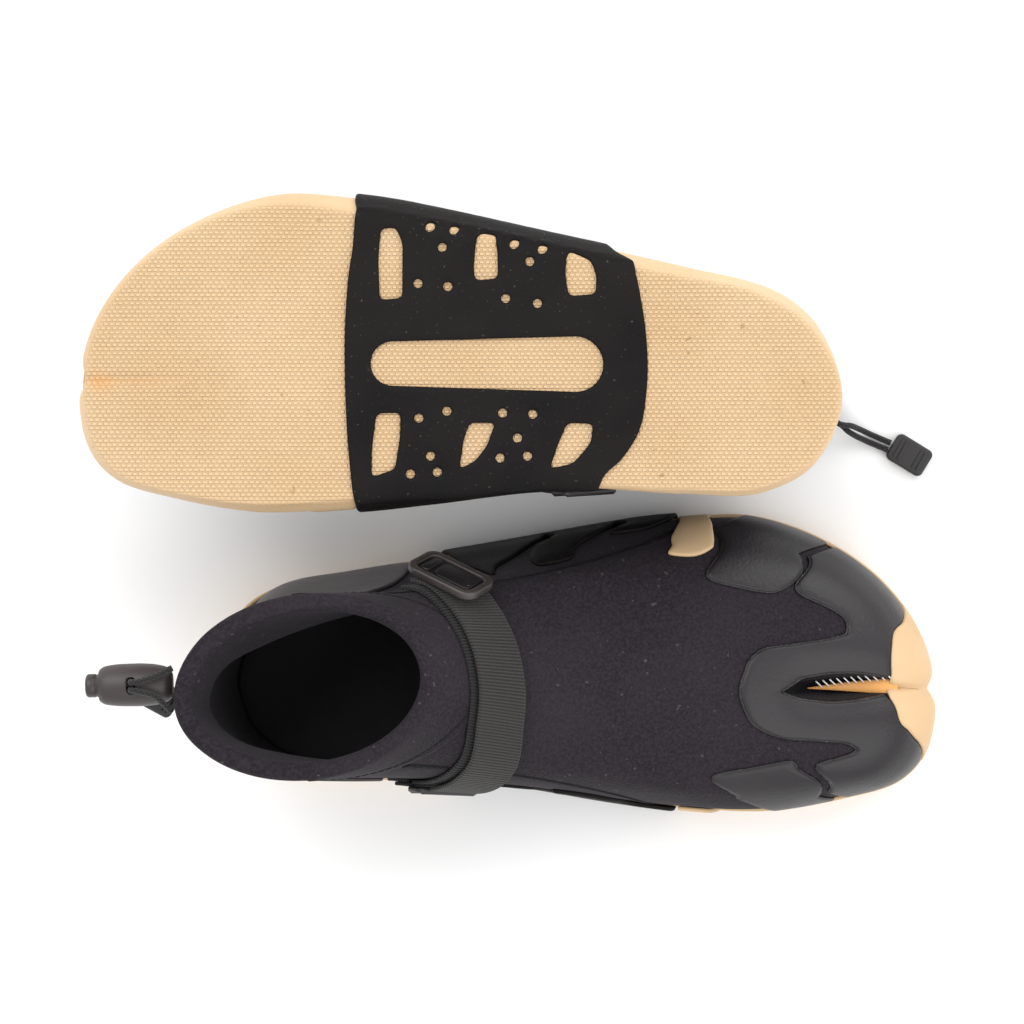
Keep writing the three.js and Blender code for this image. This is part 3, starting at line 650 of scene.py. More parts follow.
# ---- cords, locks and clips: where each boot's free cords lie ----
DRAW = {
    "a": {
        "lock": ((-26, 9, 91.5), (1, 0.02, 0.02), (0, 0, 1)),
        "way": lambda k: [(-10.9, 7.6 + 8 * k, 100.2), (-17, 9 + 3.6 * k, 101.6), (-22.5, 9 + 1.8 * k, 102.8),
                          (-25.2, 9 + THREAD * k, 102.2), (-26, 9 + THREAD * k, 99),
                          (-26, 9 + THREAD * k, 83), (-25, 8 + THREAD * k, 79.5)],
        "clip": ((-18.4, 3.4, 73), (0.62, -0.42, -0.66), (0.55, -0.36, 0.75)),
    },
    "b": {
        "lock": ((2, -6, 95.3), (-0.393, 0.92, 0), (-0.92, -0.393, 0)),
        "way": lambda k: [(11.4, -2.1, 95.3 - THREAD * k), (8.4, -3.3, 95.3 - THREAD * k),
                          (2, -6, 95.3 - THREAD * k), (-9, -10.7, 95.3 - THREAD * k),
                          (-12 - 0.45 * k, -12 + k, 96.5 - 1.1 * k), (-15.4 - 0.6 * k, -13.5 + 1.4 * k, 99.2),
                          (-21 - 0.6 * k, -15.9 + 1.4 * k, 101.9), (-28.4 - 0.6 * k, -19 + 1.4 * k, 102)],
        "clip": ((-36.3, -22.4, 102), (-0.854, -0.52, 0), (0, 0, -1)),
    },
}
ROUTE_POINTS = 36


def make_clip(boot):
    """The clip that ends the drawcord: a flat moulding with raised grips."""
    at, along, up = DRAW[boot.name]["clip"]
    move = stand(at, along, up)
    half = CLIP["thick"] / 2
    verts, faces = moulding(plate_rings(rounded_rect(CLIP["length"], CLIP["width"], 2.2), CLIP["thick"], 0.9))
    parts = [plain(move(verts - [0, 0, half]), faces)]
    for x in (-5.2, -3.3, 3.3, 5.2):
        for side in (1, -1):
            v, f = moulding(plate_rings(rounded_rect(1.1, CLIP["width"] - 3.4, 0.5), 1.0, 0.35))
            v = (v + [x, 0, half - 0.5]) * [1, 1, side]
            parts.append(plain(move(v), f))
    return joined(parts)[:2]


def make_cords(boot):
    """The two free ends of the drawcord, from the collar through the lock to the clip."""
    clip = add_piece(boot, "clip_moulding", make_clip(boot), "clip", "moulded_plastic", ["cord_clip"])
    for number, k in ((1, 1), (2, -1)):
        route, run = catmull(DRAW[boot.name]["way"](k), False, 400)
        points = np.stack([np.interp(np.linspace(0, run[-1], ROUTE_POINTS), run, route[:, i])
                           for i in range(3)], -1)
        piece = add_piece(boot, f"drawcord_{number}", tube(points, CORD / 2, 16), "cord", "cord",
                          [f"cord_{number}"])
        path = boot.place(points)


for each in BOOTS:
    make_cords(each)


# ---- where things are on the boot's surface ----
GRID_S, GRID_T = np.meshgrid(np.linspace(-0.5, 0.5, 1201), np.linspace(0.5, 6.6, 220), indexing="ij")
GRID_POINTS = BOOT_A.surface(GRID_S, GRID_T, carved=False)


def on_top(points):
    """The (s, t) under each plan point (u, v) of boot A, on the side of its surface that faces up."""
    found = []
    for u, v in points:
        miss = (GRID_POINTS[..., 0] - u) ** 2 + (GRID_POINTS[..., 1] - v) ** 2 - 0.05 * GRID_POINTS[..., 2]
        k = np.unravel_index(miss.argmin(), miss.shape)
        s, t = GRID_S[k], GRID_T[k]
        for _ in range(3):
            ds, dt = 0.001, 0.02
            p, ps, pt = BOOT_A.surface([s, s + ds, s], [t, t, t + dt], carved=False)
            way = np.stack([(ps - p)[:2] / ds, (pt - p)[:2] / dt], -1)
            if abs(np.linalg.det(way)) > 1:
                move = np.linalg.solve(way, np.array([u, v]) - p[:2])
                s, t = s + np.clip(move[0], -0.002, 0.002), t + np.clip(move[1], -0.05, 0.05)
        found.append((s, t))
    return np.array(found)


def curve_st(points, count=60):
    """A curve through plan points, in (s, t)."""
    return catmull(on_top(points), False, count)[0]


FRONT_INNER = curve_st([(268.1, -16.9), (263, -11.5), (259.3, -7.4), (257.4, 0)], 20)
FRONT_OUTER = curve_st([(256.6, 9.6), (256.3, 14), (257, 23.5), (262, 29.3)], 20)
REAR = curve_st([(225.4, 54.4), (221.2, 41.1), (238.7, 31.5), (239.5, 26.2), (234.1, 23.9), (219, 21.6),
                 (204.7, 18.9), (200.2, 12.5), (197.9, 4.1), (200.9, -5.1), (212, -12.7), (226, -14.4),
                 (239.9, -16.2), (242.9, -19.2), (228.8, -23.8), (233.4, -34.9)], 220)
OPENING_U = np.linspace(256, 217, 18)
OPENING = curve_st([(u, split_at(u)[0] - split_at(u)[1] * 1.02) for u in OPENING_U] + [(213.6, 3.8)]
                   + [(u, split_at(u)[0] + split_at(u)[1] * 1.02) for u in OPENING_U[::-1]], 110)
FOOT = 0.97                                       # ring at which the overlays meet the cup sole's wall
TOE_CAP = np.concatenate([REAR, [(REAR[-1][0], FOOT)], [(FRONT_INNER[0][0] - 0.012, FOOT)], FRONT_INNER,
                          OPENING, FRONT_OUTER, [(FRONT_OUTER[-1][0] + 0.012, FOOT)], [(REAR[0][0], FOOT)]])


def wing(points):
    """A wing's outline: its curve over the toes, closed along the foot of the overlays."""
    line = curve_st(points)
    return np.concatenate([line, [(line[-1][0], FOOT), (line[0][0], FOOT)]])


WING_OUTER = wing([(189.6, 65), (188, 46), (198, 43.4), (209.7, 41.5), (216.5, 43.6), (221.5, 55.5)])
WING_INNER = wing([(229.5, -36.5), (221.2, -26.1), (216.6, -22.7), (204, -25), (191, -27.2), (198, -37)])

# The ankle patches, in (s, t).
PATCH_OUTER = [(0.341, 2.75), (0.33, 3.7), (0.345, 4.15), (0.385, 4.25), (0.42, 4.05), (0.44, 3.4),
               (0.437, 2.45), (0.42, 2.15), (0.38, 2.1), (0.35, 2.2)]
PATCH_INNER = [(-0.292, 5.2), (-0.31, 5.65), (-0.35, 5.75), (-0.39, 5.6), (-0.4, 5.0), (-0.37, 4.5),
               (-0.32, 4.4), (-0.295, 4.7)]


def to_mm(st):
    """A plan in (s, t) scaled to about its real size, for `slab` to mesh."""
    return np.asarray(st) * [PERIMETER, RING_MM]


def lift_from(boot):
    """Takes a plan in (s, t), scaled to mm, to the boot's surface."""
    return lambda p, off: boot.surface(p[:, 0] / PERIMETER, p[:, 1] / RING_MM) \
        + boot.normal(p[:, 0] / PERIMETER, p[:, 1] / RING_MM) * np.asarray(off)[:, None]


# Where the cup sole's wall rises: the heel wrap and the inner tab, as (from, to, ring). The outer tab is an
# outline of its own, in (s, t).
TABS = [(0.43, 0.57, 2.0), (0.812, 0.831, 1.8)]
SIDE_TAB = [(0.152, 3.42), (0.1437, 3.35), (0.1475, 3.05), (0.1529, 2.86), (0.1687, 2.29), (0.183, 1.6),
            (0.188, 0.75), (0.206, 0.75), (0.2011, 1.44), (0.192, 2.1), (0.1788, 2.74), (0.166, 3.12),
            (0.158, 3.36)]
WORN_SPOT, CREASE_V = (268.5, 1.9), 2.6            # on the tread, in plan
FRONT_S = np.r_[FRONT_INNER[0][0] - 0.011, FRONT_INNER[:, 0], FRONT_OUTER[:, 0], FRONT_OUTER[-1][0] + 0.011]
FRONT_T = np.r_[0.92, FRONT_INNER[:, 1], FRONT_OUTER[:, 1], 0.92] - 0.015


def sole_top(s):
    """The ring at which the cup sole's wall ends, round the boot."""
    s = np.mod(np.asarray(s, float) + 0.5, 1) - 0.5
    around = np.mod(s, 1)
    top = np.where(around < 0.2, 0.9, 0.84) + 0 * s
    for low, high, reach in TABS:
        rise = smooth(around, low - 0.003, low + 0.003) * (1 - smooth(around, high - 0.003, high + 0.003))
        if high - low > 0.1:
            rise = smooth(around, low - 0.01, low + 0.035) * (1 - smooth(around, high - 0.035, high + 0.01))
        top = top + (reach - top) * rise
    order = np.argsort(FRONT_S)
    front = np.interp(s, FRONT_S[order], FRONT_T[order])
    return np.where((s > FRONT_S.min()) & (s < FRONT_S.max()), front, top)


def stops(*fine):
    """Shares of the way round: even ones, and closer ones between each (from, to, step)."""
    values = [np.arange(0, 1, 1 / 320)]
    for low, high, step in fine:
        values.append(np.mod(np.arange(low, high, step), 1))
    values = np.unique(np.round(np.concatenate(values), 5))
    return values[np.r_[True, np.diff(values) > 0.00035]]


# ---- soles, uppers and cuffs ----
def make_outsole(boot):
    """The gum cup sole, from the middle of its tread out and up the wall to the floor inside, and its tab."""
    s = stops((-0.075, 0.075, 0.0012), (0.807, 0.836, 0.0006))
    top = sole_top(s)
    rows, tread, tan = [], [], []

    def row(points, value=0.0, wear_and_crease_shade=0.0):
        rows.append(points)
        tread.append(np.full(len(s), value))
        tan.append(wear_and_crease_shade + np.zeros(len(s)))

    def bottom(share, inset, height, value):
        p = boot.under(s, share, inset, height)
        u, v = p[:, 0], p[:, 1]
        crease = 1.3 * np.exp(-((v - CREASE_V) / 2.2) ** 2) * smooth(u, 230, 262)
        p[:, 2] += crease * (height < 1)
        wear_and_crease_shade = 0.5 * np.exp(-((u - WORN_SPOT[0]) / 3.4) ** 2 - ((v - WORN_SPOT[1]) / 3.8) ** 2)
        # Painted shade: a darker tan line along the toe crease, beside the real wear at the worn spot.
        wear_and_crease_shade = wear_and_crease_shade + 0.22 * np.exp(-((v - CREASE_V) / 1.0) ** 2) * smooth(u, 232, 256)
        row(p, value, wear_and_crease_shade)
    for share in (0.004, 0.15, 0.3, 0.45, 0.6, 0.72, 0.82, 0.88, 0.92, 0.95, 0.975, 0.99):
        bottom(share, 3.2, 0, 1.0)
    for inset, height, value in ((2.6, 0.0, 0.9), (1.7, 0.22, 0.7), (1.1, 0.6, 0.4), (0.8, 1.2, 0.1)):
        bottom(1, inset, height, value)
    wall = RUBBER + GAP
    for share in np.linspace(0, 0.94, 12):
        row(boot.surface(s, top * share) + boot.normal(s, top * share) * wall, max(0, 0.3 - 1.2 * share))
    for share, off in ((0.975, wall - 0.1), (0.995, wall - 0.5), (1.0, wall - 0.9), (0.995, GAP), (0.9, GAP),
                       (0.5, GAP), (0.0, GAP)):
        row(boot.surface(s, top * share) + boot.normal(s, top * share) * off)
    for share in (1, 0.5, 0.004):
        row(boot.under(s, share, 3, FLOOR))
    add_piece(boot, "cup_sole", moulding(rows), "gum", "gum_rubber", ["outsole"],
              tread=np.concatenate(tread), tan=np.concatenate(tan))
    loop = catmull(to_mm(SIDE_TAB), True, 110)[0][:-1]
    verts, faces, _ = slab([loop], lift_from(boot), 0.15, GAP + 1.2, 1.6, 0.7)
    add_piece(boot, "side_tab", (verts, faces), "gum", "gum_rubber",
              tread=np.zeros(len(verts)), tan=np.zeros(len(verts)))


def neoprene_loops(boot, name, rows, dark, nodes):
    """A neoprene piece of loops round the boot that also close from the last row to the first."""
    faces = grid_faces(len(rows), len(rows[0]), close_rows=True, close_across=True)
    add_piece(boot, name, (np.concatenate(rows), faces), "neoprene", "neoprene", nodes, dark=dark)


SEAMS = (0.187, 0.799)                            # where the flat seams run up the boot, in s


def make_upper(boot):
    """The upper, outside and in, with its two seams pressed in and painted shade darkening the neoprene inside
    the toe split.
    """
    s = stops((-0.03, 0.042, 0.0008), (0.183, 0.191, 0.0006), (0.795, 0.803, 0.0006))
    levels = np.unique(np.round(np.r_[np.arange(0, 6.21, 0.13), np.arange(2.3, 5.0, 0.045), 6.2], 4))
    rows, dark = [], []
    for t in levels:
        seam = sum(np.exp(-((s - at) / 0.0012) ** 2) for at in SEAMS) * (t > 0.5)
        p = boot.surface(s, t)
        plain = boot.surface(s, t, carved=False)
        middle, half, _ = split_at(plain[:, 0])
        split_shade = 1 - smooth(np.abs(plain[:, 1] - middle) / half, 0.95, 1.15)
        rows.append(p - boot.normal(s, t) * (0.7 * seam)[:, None])
        # Painted shade: the dark value darkens the neoprene walls inside the toe split, a deep narrow recess.
        dark.append(np.clip(split_shade * smooth(plain[:, 2], 14, 22) * smooth(plain[:, 0], 212, 216), 0, 1))
    for t in levels[::-3]:
        rows.append(boot.surface(s, t) - boot.normal(s, t) * NEOPRENE)
    rows.append(boot.under(s, 1, 9, 6.45))        # a flange under the insole's edge
    dark.append(np.zeros((len(rows) - len(levels)) * len(s)))
    neoprene_loops(boot, "upper", rows, np.concatenate(dark), ["vamp", "quarter_outer", "quarter_inner"])


# The cuff's section, as (ring, mm out from the surface): up the outside, over the fold and down the inside.
CUFF_FOOT, CUFF_HALF = 6.02, 3.3
CUFF_SHAPE = ([(CUFF_FOOT, 0.0), (CUFF_FOOT + 0.01, 0.35), (6.1, 0.5), (6.16, 0.28), (6.22, 0.45), (6.4, 0.5),
               (6.6, 0.45), (6.8, 0.35)]
              + [(6.83 + 0.17 * math.sin(a), -2.95 + CUFF_HALF * math.cos(a))
                 for a in np.linspace(0.25, math.pi - 0.25, 9)]
              + [(6.75, -6.25), (6.5, -6.3), (6.2, -6.3), (5.9, -6.2), (5.5, -6.1), (5.2, -6.0), (5.15, -5.6),
                 (5.25, -5.1), (5.8, -5.0), (6.0, -4.6)])


def make_cuff(boot):
    s = np.arange(0, 1, 1 / 260)
    rows = []
    for t, off in CUFF_SHAPE:
        p = boot.surface(s, min(t, RIM)) + boot.normal(s, min(t, RIM)) * off
        p[:, 2] = np.minimum(p[:, 2], COLLAR_HEIGHT)
        rows.append(p)
    neoprene_loops(boot, "cuff", rows, np.zeros(len(rows) * len(s)), ["cuff_outer", "cuff_facing"])


def make_footbed(boot):
    loop = boot.edge(np.linspace(0, 1, 160, endpoint=False), 4.7)

    def lift(p, off):
        return boot.bend(np.c_[p, 6.5 + off])
    bed = add_piece(boot, "insole", slab([loop], lift, 0.0, 3.7, 4.0, 1.4)[:2], "foam", "foam", ["footbed"])


def bead(boot, st, off, radius):
    """A thin uneven bead of glue along a line on the surface."""
    st = np.asarray(st)
    way = np.r_[0, np.cumsum(np.linalg.norm(np.diff(to_mm(st), axis=0), axis=1))]
    count = max(8, int(way[-1] / 1.1))
    even = np.stack([np.interp(np.linspace(0, way[-1], count), way, st[:, k]) for k in (0, 1)], -1)
    wobble = 0.12 * np.sin(np.arange(count) * 1.7) + 0.1 * np.sin(np.arange(count) * 0.61)
    line = boot.surface(even[:, 0], even[:, 1]) + boot.normal(even[:, 0], even[:, 1]) * off
    return tube(line, radius * (1 + wobble), 6)


def make_overlays(boot):
    """The rubber over the toes, with its glue lines, and the two ankle patches."""
    lift = lift_from(boot)
    for key, loop in (("toe_cap", TOE_CAP), ("toe_wing_outer", WING_OUTER), ("toe_wing_inner", WING_INNER)):
        plate = slab([to_mm(loop)], lift, 0.1, GAP + OVERLAY, 1.3, 0.8)[:2]
        add_piece(boot, f"{key}_rubber", plate, "overlay", "overlay_rubber", [key])
    lines = [bead(boot, line, off, radius) for line, off, radius in (
        (REAR, 0.25, 0.68), (WING_OUTER[:-2], 0.25, 0.62), (WING_INNER[:-2], 0.25, 0.62),
        (OPENING, 0.5, 0.6), (FRONT_INNER, 0.8, 0.42), (FRONT_OUTER, 0.8, 0.42))]
    add_piece(boot, "glue_lines", joined(lines), "glue", "overlay_rubber")
    for side, plan in (("outer", PATCH_OUTER), ("inner", PATCH_INNER)):
        loop = catmull(to_mm(plan), True, 90)[0][:-1]
        plate = slab([loop], lift, 0.1, GAP + OVERLAY, 2.2, 0.8)[:2]
        add_piece(boot, f"ankle_rubber_{side}", plate, "patch", "overlay_rubber", [f"ankle_patch_{side}"])


def make_split(boot):
    """The gum wedge between the toes and the pale whip stitches along its outer edge."""
    us = np.linspace(225, 260, 40)
    middle = np.interp(us, [225, 240, 258], [4.6, 5.0, 5.2])
    half = np.interp(us, [225, 240, 258, 262], [0.25, 1.7, 3.2, 3.4])
    st = on_top(np.c_[us, middle])
    height = BOOT_A.surface(st[:, 0], st[:, 1], carved=False)[:, 2]
    depth = np.interp(us, [225, 235, 245, 252, 257, 261], [9.5, 10.0, 8.2, 5.6, 3.6, 2.4])
    across = np.linspace(-1, 1, 13)
    top = np.array([[(u, m + h * a, z - d + 0.5 * (1 - a * a)) for a in across]
                    for u, m, h, z, d in zip(us, middle, half, height, depth)])
    rows = [np.vstack([line, line[::-1] - [0, 0, 7]]) for line in top]
    verts, faces = moulding([boot.bend(r) for r in rows])
    add_piece(boot, "gusset", (verts, faces), "gum", "gum_rubber", ["split_gusset"],
              tread=np.zeros(len(verts)), tan=np.ones(len(verts)))
    parts = []
    for u in np.arange(229.5, 257.5, 2.7):
        m, h, z, d = (np.interp(u, us, a) for a in (middle, half, height, depth))
        start = np.array([u + 1.2, m + h - 0.5, z - d + 0.7])
        reach = np.array([u - 1.5, m + h + 2.0, z - d + 3.0])
        steps = np.linspace(0, 1, 7)[:, None]
        line = start + (reach - start) * steps + [0, 0, 0.5] * np.sin(np.pi * steps)
        parts.append(tube(boot.bend(line), 0.3, 6))
    add_piece(boot, "whip_stitches", joined(parts)[:2], "white_thread", "overlay_rubber")


# ---- the rubber harness under the midfoot ----
CORNER = 1.6                                      # where the harness leaves the sole's corner for the wall
OUTER_SIDE, INNER_SIDE = slice(300, 2600), slice(3300, 5700)    # of SOLE_POINTS, clear of toe and heel


def harness_point(boot, u, k, off):
    """A point on the sole's underside and wall: u along the boot, k across from the middle, negative on the
    inner side; beyond CORNER, |k| - CORNER is the ring."""
    u, k = np.broadcast_arrays(np.asarray(u, float), np.asarray(k, float))
    off = np.broadcast_to(off, u.shape)
    outer = np.interp(-u, -SOLE_POINTS[OUTER_SIDE, 0], SOLE_SHARE[OUTER_SIDE])
    inner = np.interp(u, SOLE_POINTS[INNER_SIDE, 0], SOLE_SHARE[INNER_SIDE])
    s = np.where(k >= 0, outer, inner)
    size = np.abs(k)
    tread, corner = boot.edge(s, 4.0), boot.edge(s, 0.8)
    middle = np.stack([u, np.full(u.shape, SOLE_MIDDLE[1])], -1)
    a = np.clip(size, 0, 1)[..., None]
    b = smooth(size, 1, CORNER)[..., None]
    plan = middle + (tread - middle) * a + (corner - tread) * b
    height = 1.2 * b[..., 0] ** 2 - off * (1 - 0.3 * b[..., 0]) + arch(plan[..., 0])
    low = np.concatenate([plan, height[..., None]], -1)
    low[..., :2] += (corner - tread) / 3.2 * (off * b[..., 0])[..., None]
    t = np.clip(size - CORNER, 0, 5)
    grow = (RUBBER + GAP) * (1 - smooth(t, 0.9, 1.9)) + off
    high = boot.surface(s, t, carved=False) + boot.normal(s, t) * grow[..., None]
    up = smooth(size, CORNER - 0.02, CORNER + 0.12)[..., None]
    return boot.bend(low) * (1 - up) + high * up


# The harness's own plan is (u, q): q is the distance across from the middle, measured over the surface.
HARNESS_STEP = 2.0
HARNESS_U = np.arange(60.0, 190.0, HARNESS_STEP)
HARNESS_K = np.r_[np.arange(0, CORNER, 0.04), np.arange(CORNER, CORNER + 4.6, 0.04)]
HARNESS_Q = {side: np.array([np.r_[0, np.cumsum(np.linalg.norm(np.diff(
    harness_point(BOOT_A, np.full(len(HARNESS_K), u), side * HARNESS_K, 0.0), axis=0), axis=1))]
    for u in HARNESS_U]) for side in (1, -1)}


def harness_row(number):
    return int(np.clip(number, 0, len(HARNESS_U) - 1))


def across_of(u, ring, side):
    """How far from the middle, in mm across the boot, a ring of the wall lies at u."""
    row = harness_row(round((u - HARNESS_U[0]) / HARNESS_STEP))
    return side * float(np.interp(CORNER + ring, HARNESS_K, HARNESS_Q[side][row]))


def lift_harness(boot):
    """Takes the harness's own plan to the boot's sole and wall."""
    def lift(p, off):
        k = np.empty(len(p))
        for i, (u, q) in enumerate(p):
            side = 1 if q >= 0 else -1
            row = harness_row(round((u - HARNESS_U[0]) / HARNESS_STEP))
            other = harness_row(row + (1 if u > HARNESS_U[row] else -1))
            mix = min(abs(u - HARNESS_U[row]) / HARNESS_STEP, 1)
            ks = [np.interp(abs(q), HARNESS_Q[side][r], HARNESS_K) for r in (row, other)]
            k[i] = side * (ks[0] * (1 - mix) + ks[1] * mix)
        return harness_point(boot, p[:, 0], k, np.asarray(off))
    return lift


def harness_tip(u, v):
    """Where a plan point of boot A lies in the harness's own plan."""
    s, t = on_top([(u, v)])[0]
    base = float(sole_point(s)[0])
    return base, across_of(base, t, 1)


def tapered_slot(start, end, start_width, end_width, steps=8):
    """The outline of a slot with round ends of two widths."""
    start, end = np.array(start, float), np.array(end, float)
    heading = math.atan2(*(end - start)[::-1])
    points = []
    for centre, radius, first in ((end, end_width / 2, heading - math.pi / 2),
                                  (start, start_width / 2, heading + math.pi / 2)):
        for i in range(steps + 1):
            angle = first + math.pi * i / steps
            points.append(centre + radius * np.array([math.cos(angle), math.sin(angle)]))
    return np.array(points)


# The harness's openings, in plan: the middle slot as the centres of its round ends and the widths there, and
# the side slots by their corners.
CENTRE_SLOT = ((97, 8.6), (163, 8.8), 20, 16)
SIDE_SLOTS = [[(166.8, 57.4), (161.3, 58), (158.9, 52), (159.3, 32.5), (167.4, 31.8), (167.8, 46)],
              [(131.8, 55.6), (125.8, 55.6), (124.5, 50), (124.5, 39.6), (132.6, 38.8), (133.2, 43)],
              [(99.3, 49.4), (90.5, 45.6), (88.8, 40.6), (89.2, 33.9), (98.9, 33.2), (100, 40.6)],
              [(168.8, -9.2), (160.2, -9), (160.2, -17), (162, -29.4), (170.4, -32.2), (170.4, -22.5)],
              [(135.2, -12.6), (125.9, -12.6), (128.8, -20.9), (133.2, -26.6), (138.6, -29.2),
               (137.2, -18.9)],
              [(100, -12.6), (90.8, -13), (91.6, -19.8), (97.9, -27.2), (106.2, -29.2), (103.4, -20.7)]]
SLOT_CORNER = 2.2
HARNESS_HOLES = [(149, 58), (140.5, 57), (144.5, 50.7), (153.5, 37.7), (142.7, 36.6), (118.6, 51.8),
                 (108.5, 50), (112.8, 45.6), (121.8, 32.3), (110.3, 30.5), (153.5, -10.9), (143.4, -8.4),
                 (123.2, -9.1), (112.4, -9.5), (117.8, -18.1), (149.2, -24.6), (156.4, -31.1),
                 (146.7, -30.4), (124, -25.3), (114.2, -24.6)]
HOLE_RADIUS = 1.65


def soft_corners(points, radius, steps=6):
    """A polygon with each corner rounded off."""
    out = []
    for before, corner, after in zip(np.roll(points, 1, axis=0), points, np.roll(points, -1, axis=0)):
        a, b = before - corner, after - corner
        cut_a = corner + a * min(radius / np.linalg.norm(a), 0.45)
        cut_b = corner + b * min(radius / np.linalg.norm(b), 0.45)
        for k in np.linspace(0, 1, steps):
            out.append(cut_a * (1 - k) ** 2 + corner * 2 * k * (1 - k) + cut_b * k * k)
    return np.array(out)


def harness_outline():
    """The harness's edge: over the sole at toe and heel, and with fingers up the wall on both sides."""
    def wall(side, *points):
        return [(u, across_of(u, ring, side)) for u, ring in points]

    def finger(*points):
        return [harness_tip(u, v) for u, v in points]
    toe = [(178.6, -34), (179.8, -18), (180.4, 0), (180.2, 14), (178.8, 32), (177, 44)]
    outer = wall(1, (176, 0.6), (176.5, 1.8), (175, 2.3), (163, 2.35), (160.5, 1.7), (155, 1.5))
    outer += finger((136.5, 58.3), (133.5, 53.6), (124.7, 51.6), (119.4, 56.3))
    outer += wall(1, (131, 1.6), (127, 1.5))
    outer += finger((107.4, 51.5), (105.3, 48.2), (98, 50.4), (90.7, 53.6))
    outer += wall(1, (92, 1.6), (84, 0.6))
    heel = [(76, 37), (72.5, 22), (71, 5.6), (71.5, -10), (74, -23), (80, -33), (87, -40)]
    inner = wall(-1, (90, 0.4), (96, 1.2), (112, 1.5), (114, 2.6), (120, 3.0), (127, 2.6), (130, 1.5),
                 (138, 1.5), (141, 2.5), (149, 2.9), (157, 2.5), (160, 1.5), (173, 1.3), (176, 0.5))
    return catmull(toe + outer + heel + inner, True, 420)[0][:-1]


def make_harness(boot):
    loops = [harness_outline()]
    down = np.array([0, SOLE_MIDDLE[1]])
    start, end, a, b = CENTRE_SLOT
    loops.append(tapered_slot(np.array(start) - down, np.array(end) - down, a, b, 16))
    for corners in SIDE_SLOTS:
        loops.append(soft_corners(np.array(corners, float) - down, SLOT_CORNER))
    angle = np.linspace(0, 2 * np.pi, 14, endpoint=False)
    ring = HOLE_RADIUS * np.c_[np.cos(angle), np.sin(angle)]
    for u, v in HARNESS_HOLES:
        loops.append(np.array([u, v - SOLE_MIDDLE[1]]) + ring)
    plate = slab(loops, lift_harness(boot), 0.05, GAP + 1.2, 2.0, 0.7)[:2]
    add_piece(boot, "harness_rubber", plate, "harness", "harness_rubber", ["harness"])


# ---- the strap, its badge and its loop ----
TURN = -0.282                                     # share of the way round where the strap turns back
STRAP_END, BACKING_END = 0.205, 0.21
STRAP_LOW, BACKING_LOW = 3.2, 0.55                # mm from the surface to each layer's underside
BACKING_SHIFT = 2.5                               # mm that the lower layer shows past the upper one
HINGE = (0.004, 0.036)                            # two shares along the strap, at which points over it are worked out
ANCHOR_WIDTH, ANCHOR_LAYERS = 18, ((-0.04, -0.012, 0.1), (-0.03, -0.003, 1.65))    # from, to, low
BADGE = {"at": 0.168, "off": 5.4, "frame": (30, 19, 5), "window": (24, 13, 3), "thick": 3.2}


def strap_ring(s):
    """The ring along which the strap's middle line runs."""
    return 6.05 - np.where(np.asarray(s) > 0, 20.0, 28.0) * np.square(s)


def strap_mesh(boot, s0, s1, low, width, shift, count):
    """A length of flat webbing over the instep, with soft edges; UVs run along and across it in mm."""
    half, edge = width / 2, WEBBING / 2
    bow = [(edge * math.cos(a), 0.5 * math.sin(a)) for a in np.linspace(1.2, -1.2, 5)]
    section = [(x, 1.0) for x in np.linspace(-half + edge, half - edge, 13)]
    section += [(half - edge + x, 0.5 + z) for x, z in bow]
    section += [(x, 0.0) for x in np.linspace(half - edge, -half + edge, 7)]
    section += [(-half + edge - x, 0.5 - z) for x, z in bow]
    rows, uvs, run, last = [], [], 0.0, None
    for s in np.linspace(s0, s1, count):
        t = strap_ring(s)
        scale = np.linalg.norm(boot.skin(s, t + 0.1) - boot.skin(s, t - 0.1)) / 0.2
        x = np.array([p[0] for p in section])
        off = low + WEBBING * np.array([p[1] for p in section])
        ts = t + (x + shift) / scale
        row = boot.surface(s, ts) + boot.normal(s, ts) * off[:, None]
        middle = row[6]
        run += 0 if last is None else np.linalg.norm(middle - last)
        last = middle
        rows.append(row)
        uvs += [(run, value) for value in x]
    verts, faces = moulding(rows)
    return verts, faces, np.array(uvs), run


def make_straps(boot):
    """The strap, the layer under it and the tab that holds the loop."""
    name, end = boot.name, f"boot_{boot.name}_strap_end"
    verts, faces, uvs, run = strap_mesh(boot, TURN + 0.02, STRAP_END, STRAP_LOW, STRAP_WIDTH, 0, 130)
    strap = new_object(f"boot_{name}_strap_webbing", verts, faces, boot, uvs)
    strap.data.materials.append(LOOKS["webbing"])
    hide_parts(f"boot_{name}_strap_top", f"boot_{name}_strap_tail")
    start, finish = (boot.place(boot.skin(s, strap_ring(s), 3.9)) for s in HINGE)
    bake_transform(strap)
    *shape, run = strap_mesh(boot, TURN, BACKING_END, BACKING_LOW, STRAP_WIDTH, BACKING_SHIFT, 110)
    under = add_piece(boot, "strap_backing", shape, "webbing_black", "webbing", ["strap_under"])
    layers = [strap_mesh(boot, TURN + low, TURN + high, off, ANCHOR_WIDTH, BACKING_SHIFT, 14)[:3]
              for low, high, off in ANCHOR_LAYERS]
    add_piece(boot, "anchor_tab", joined(layers), "webbing_black", "webbing", ["loop_anchor"])


def ring_solid(outer, inner, thick, bevel):
    """A flat frame between two outlines of as many points, with rounded edges."""
    outside = plate_rings(outer, thick, bevel)
    hole = plate_rings(inner[::-1], thick, bevel)
    hole = [r[::-1] for r in hole][::-1]
    rings = outside + hole
    faces = grid_faces(len(rings), len(outer), close_rows=True, close_across=True)
    return np.concatenate(rings), [list(f) for f in faces]


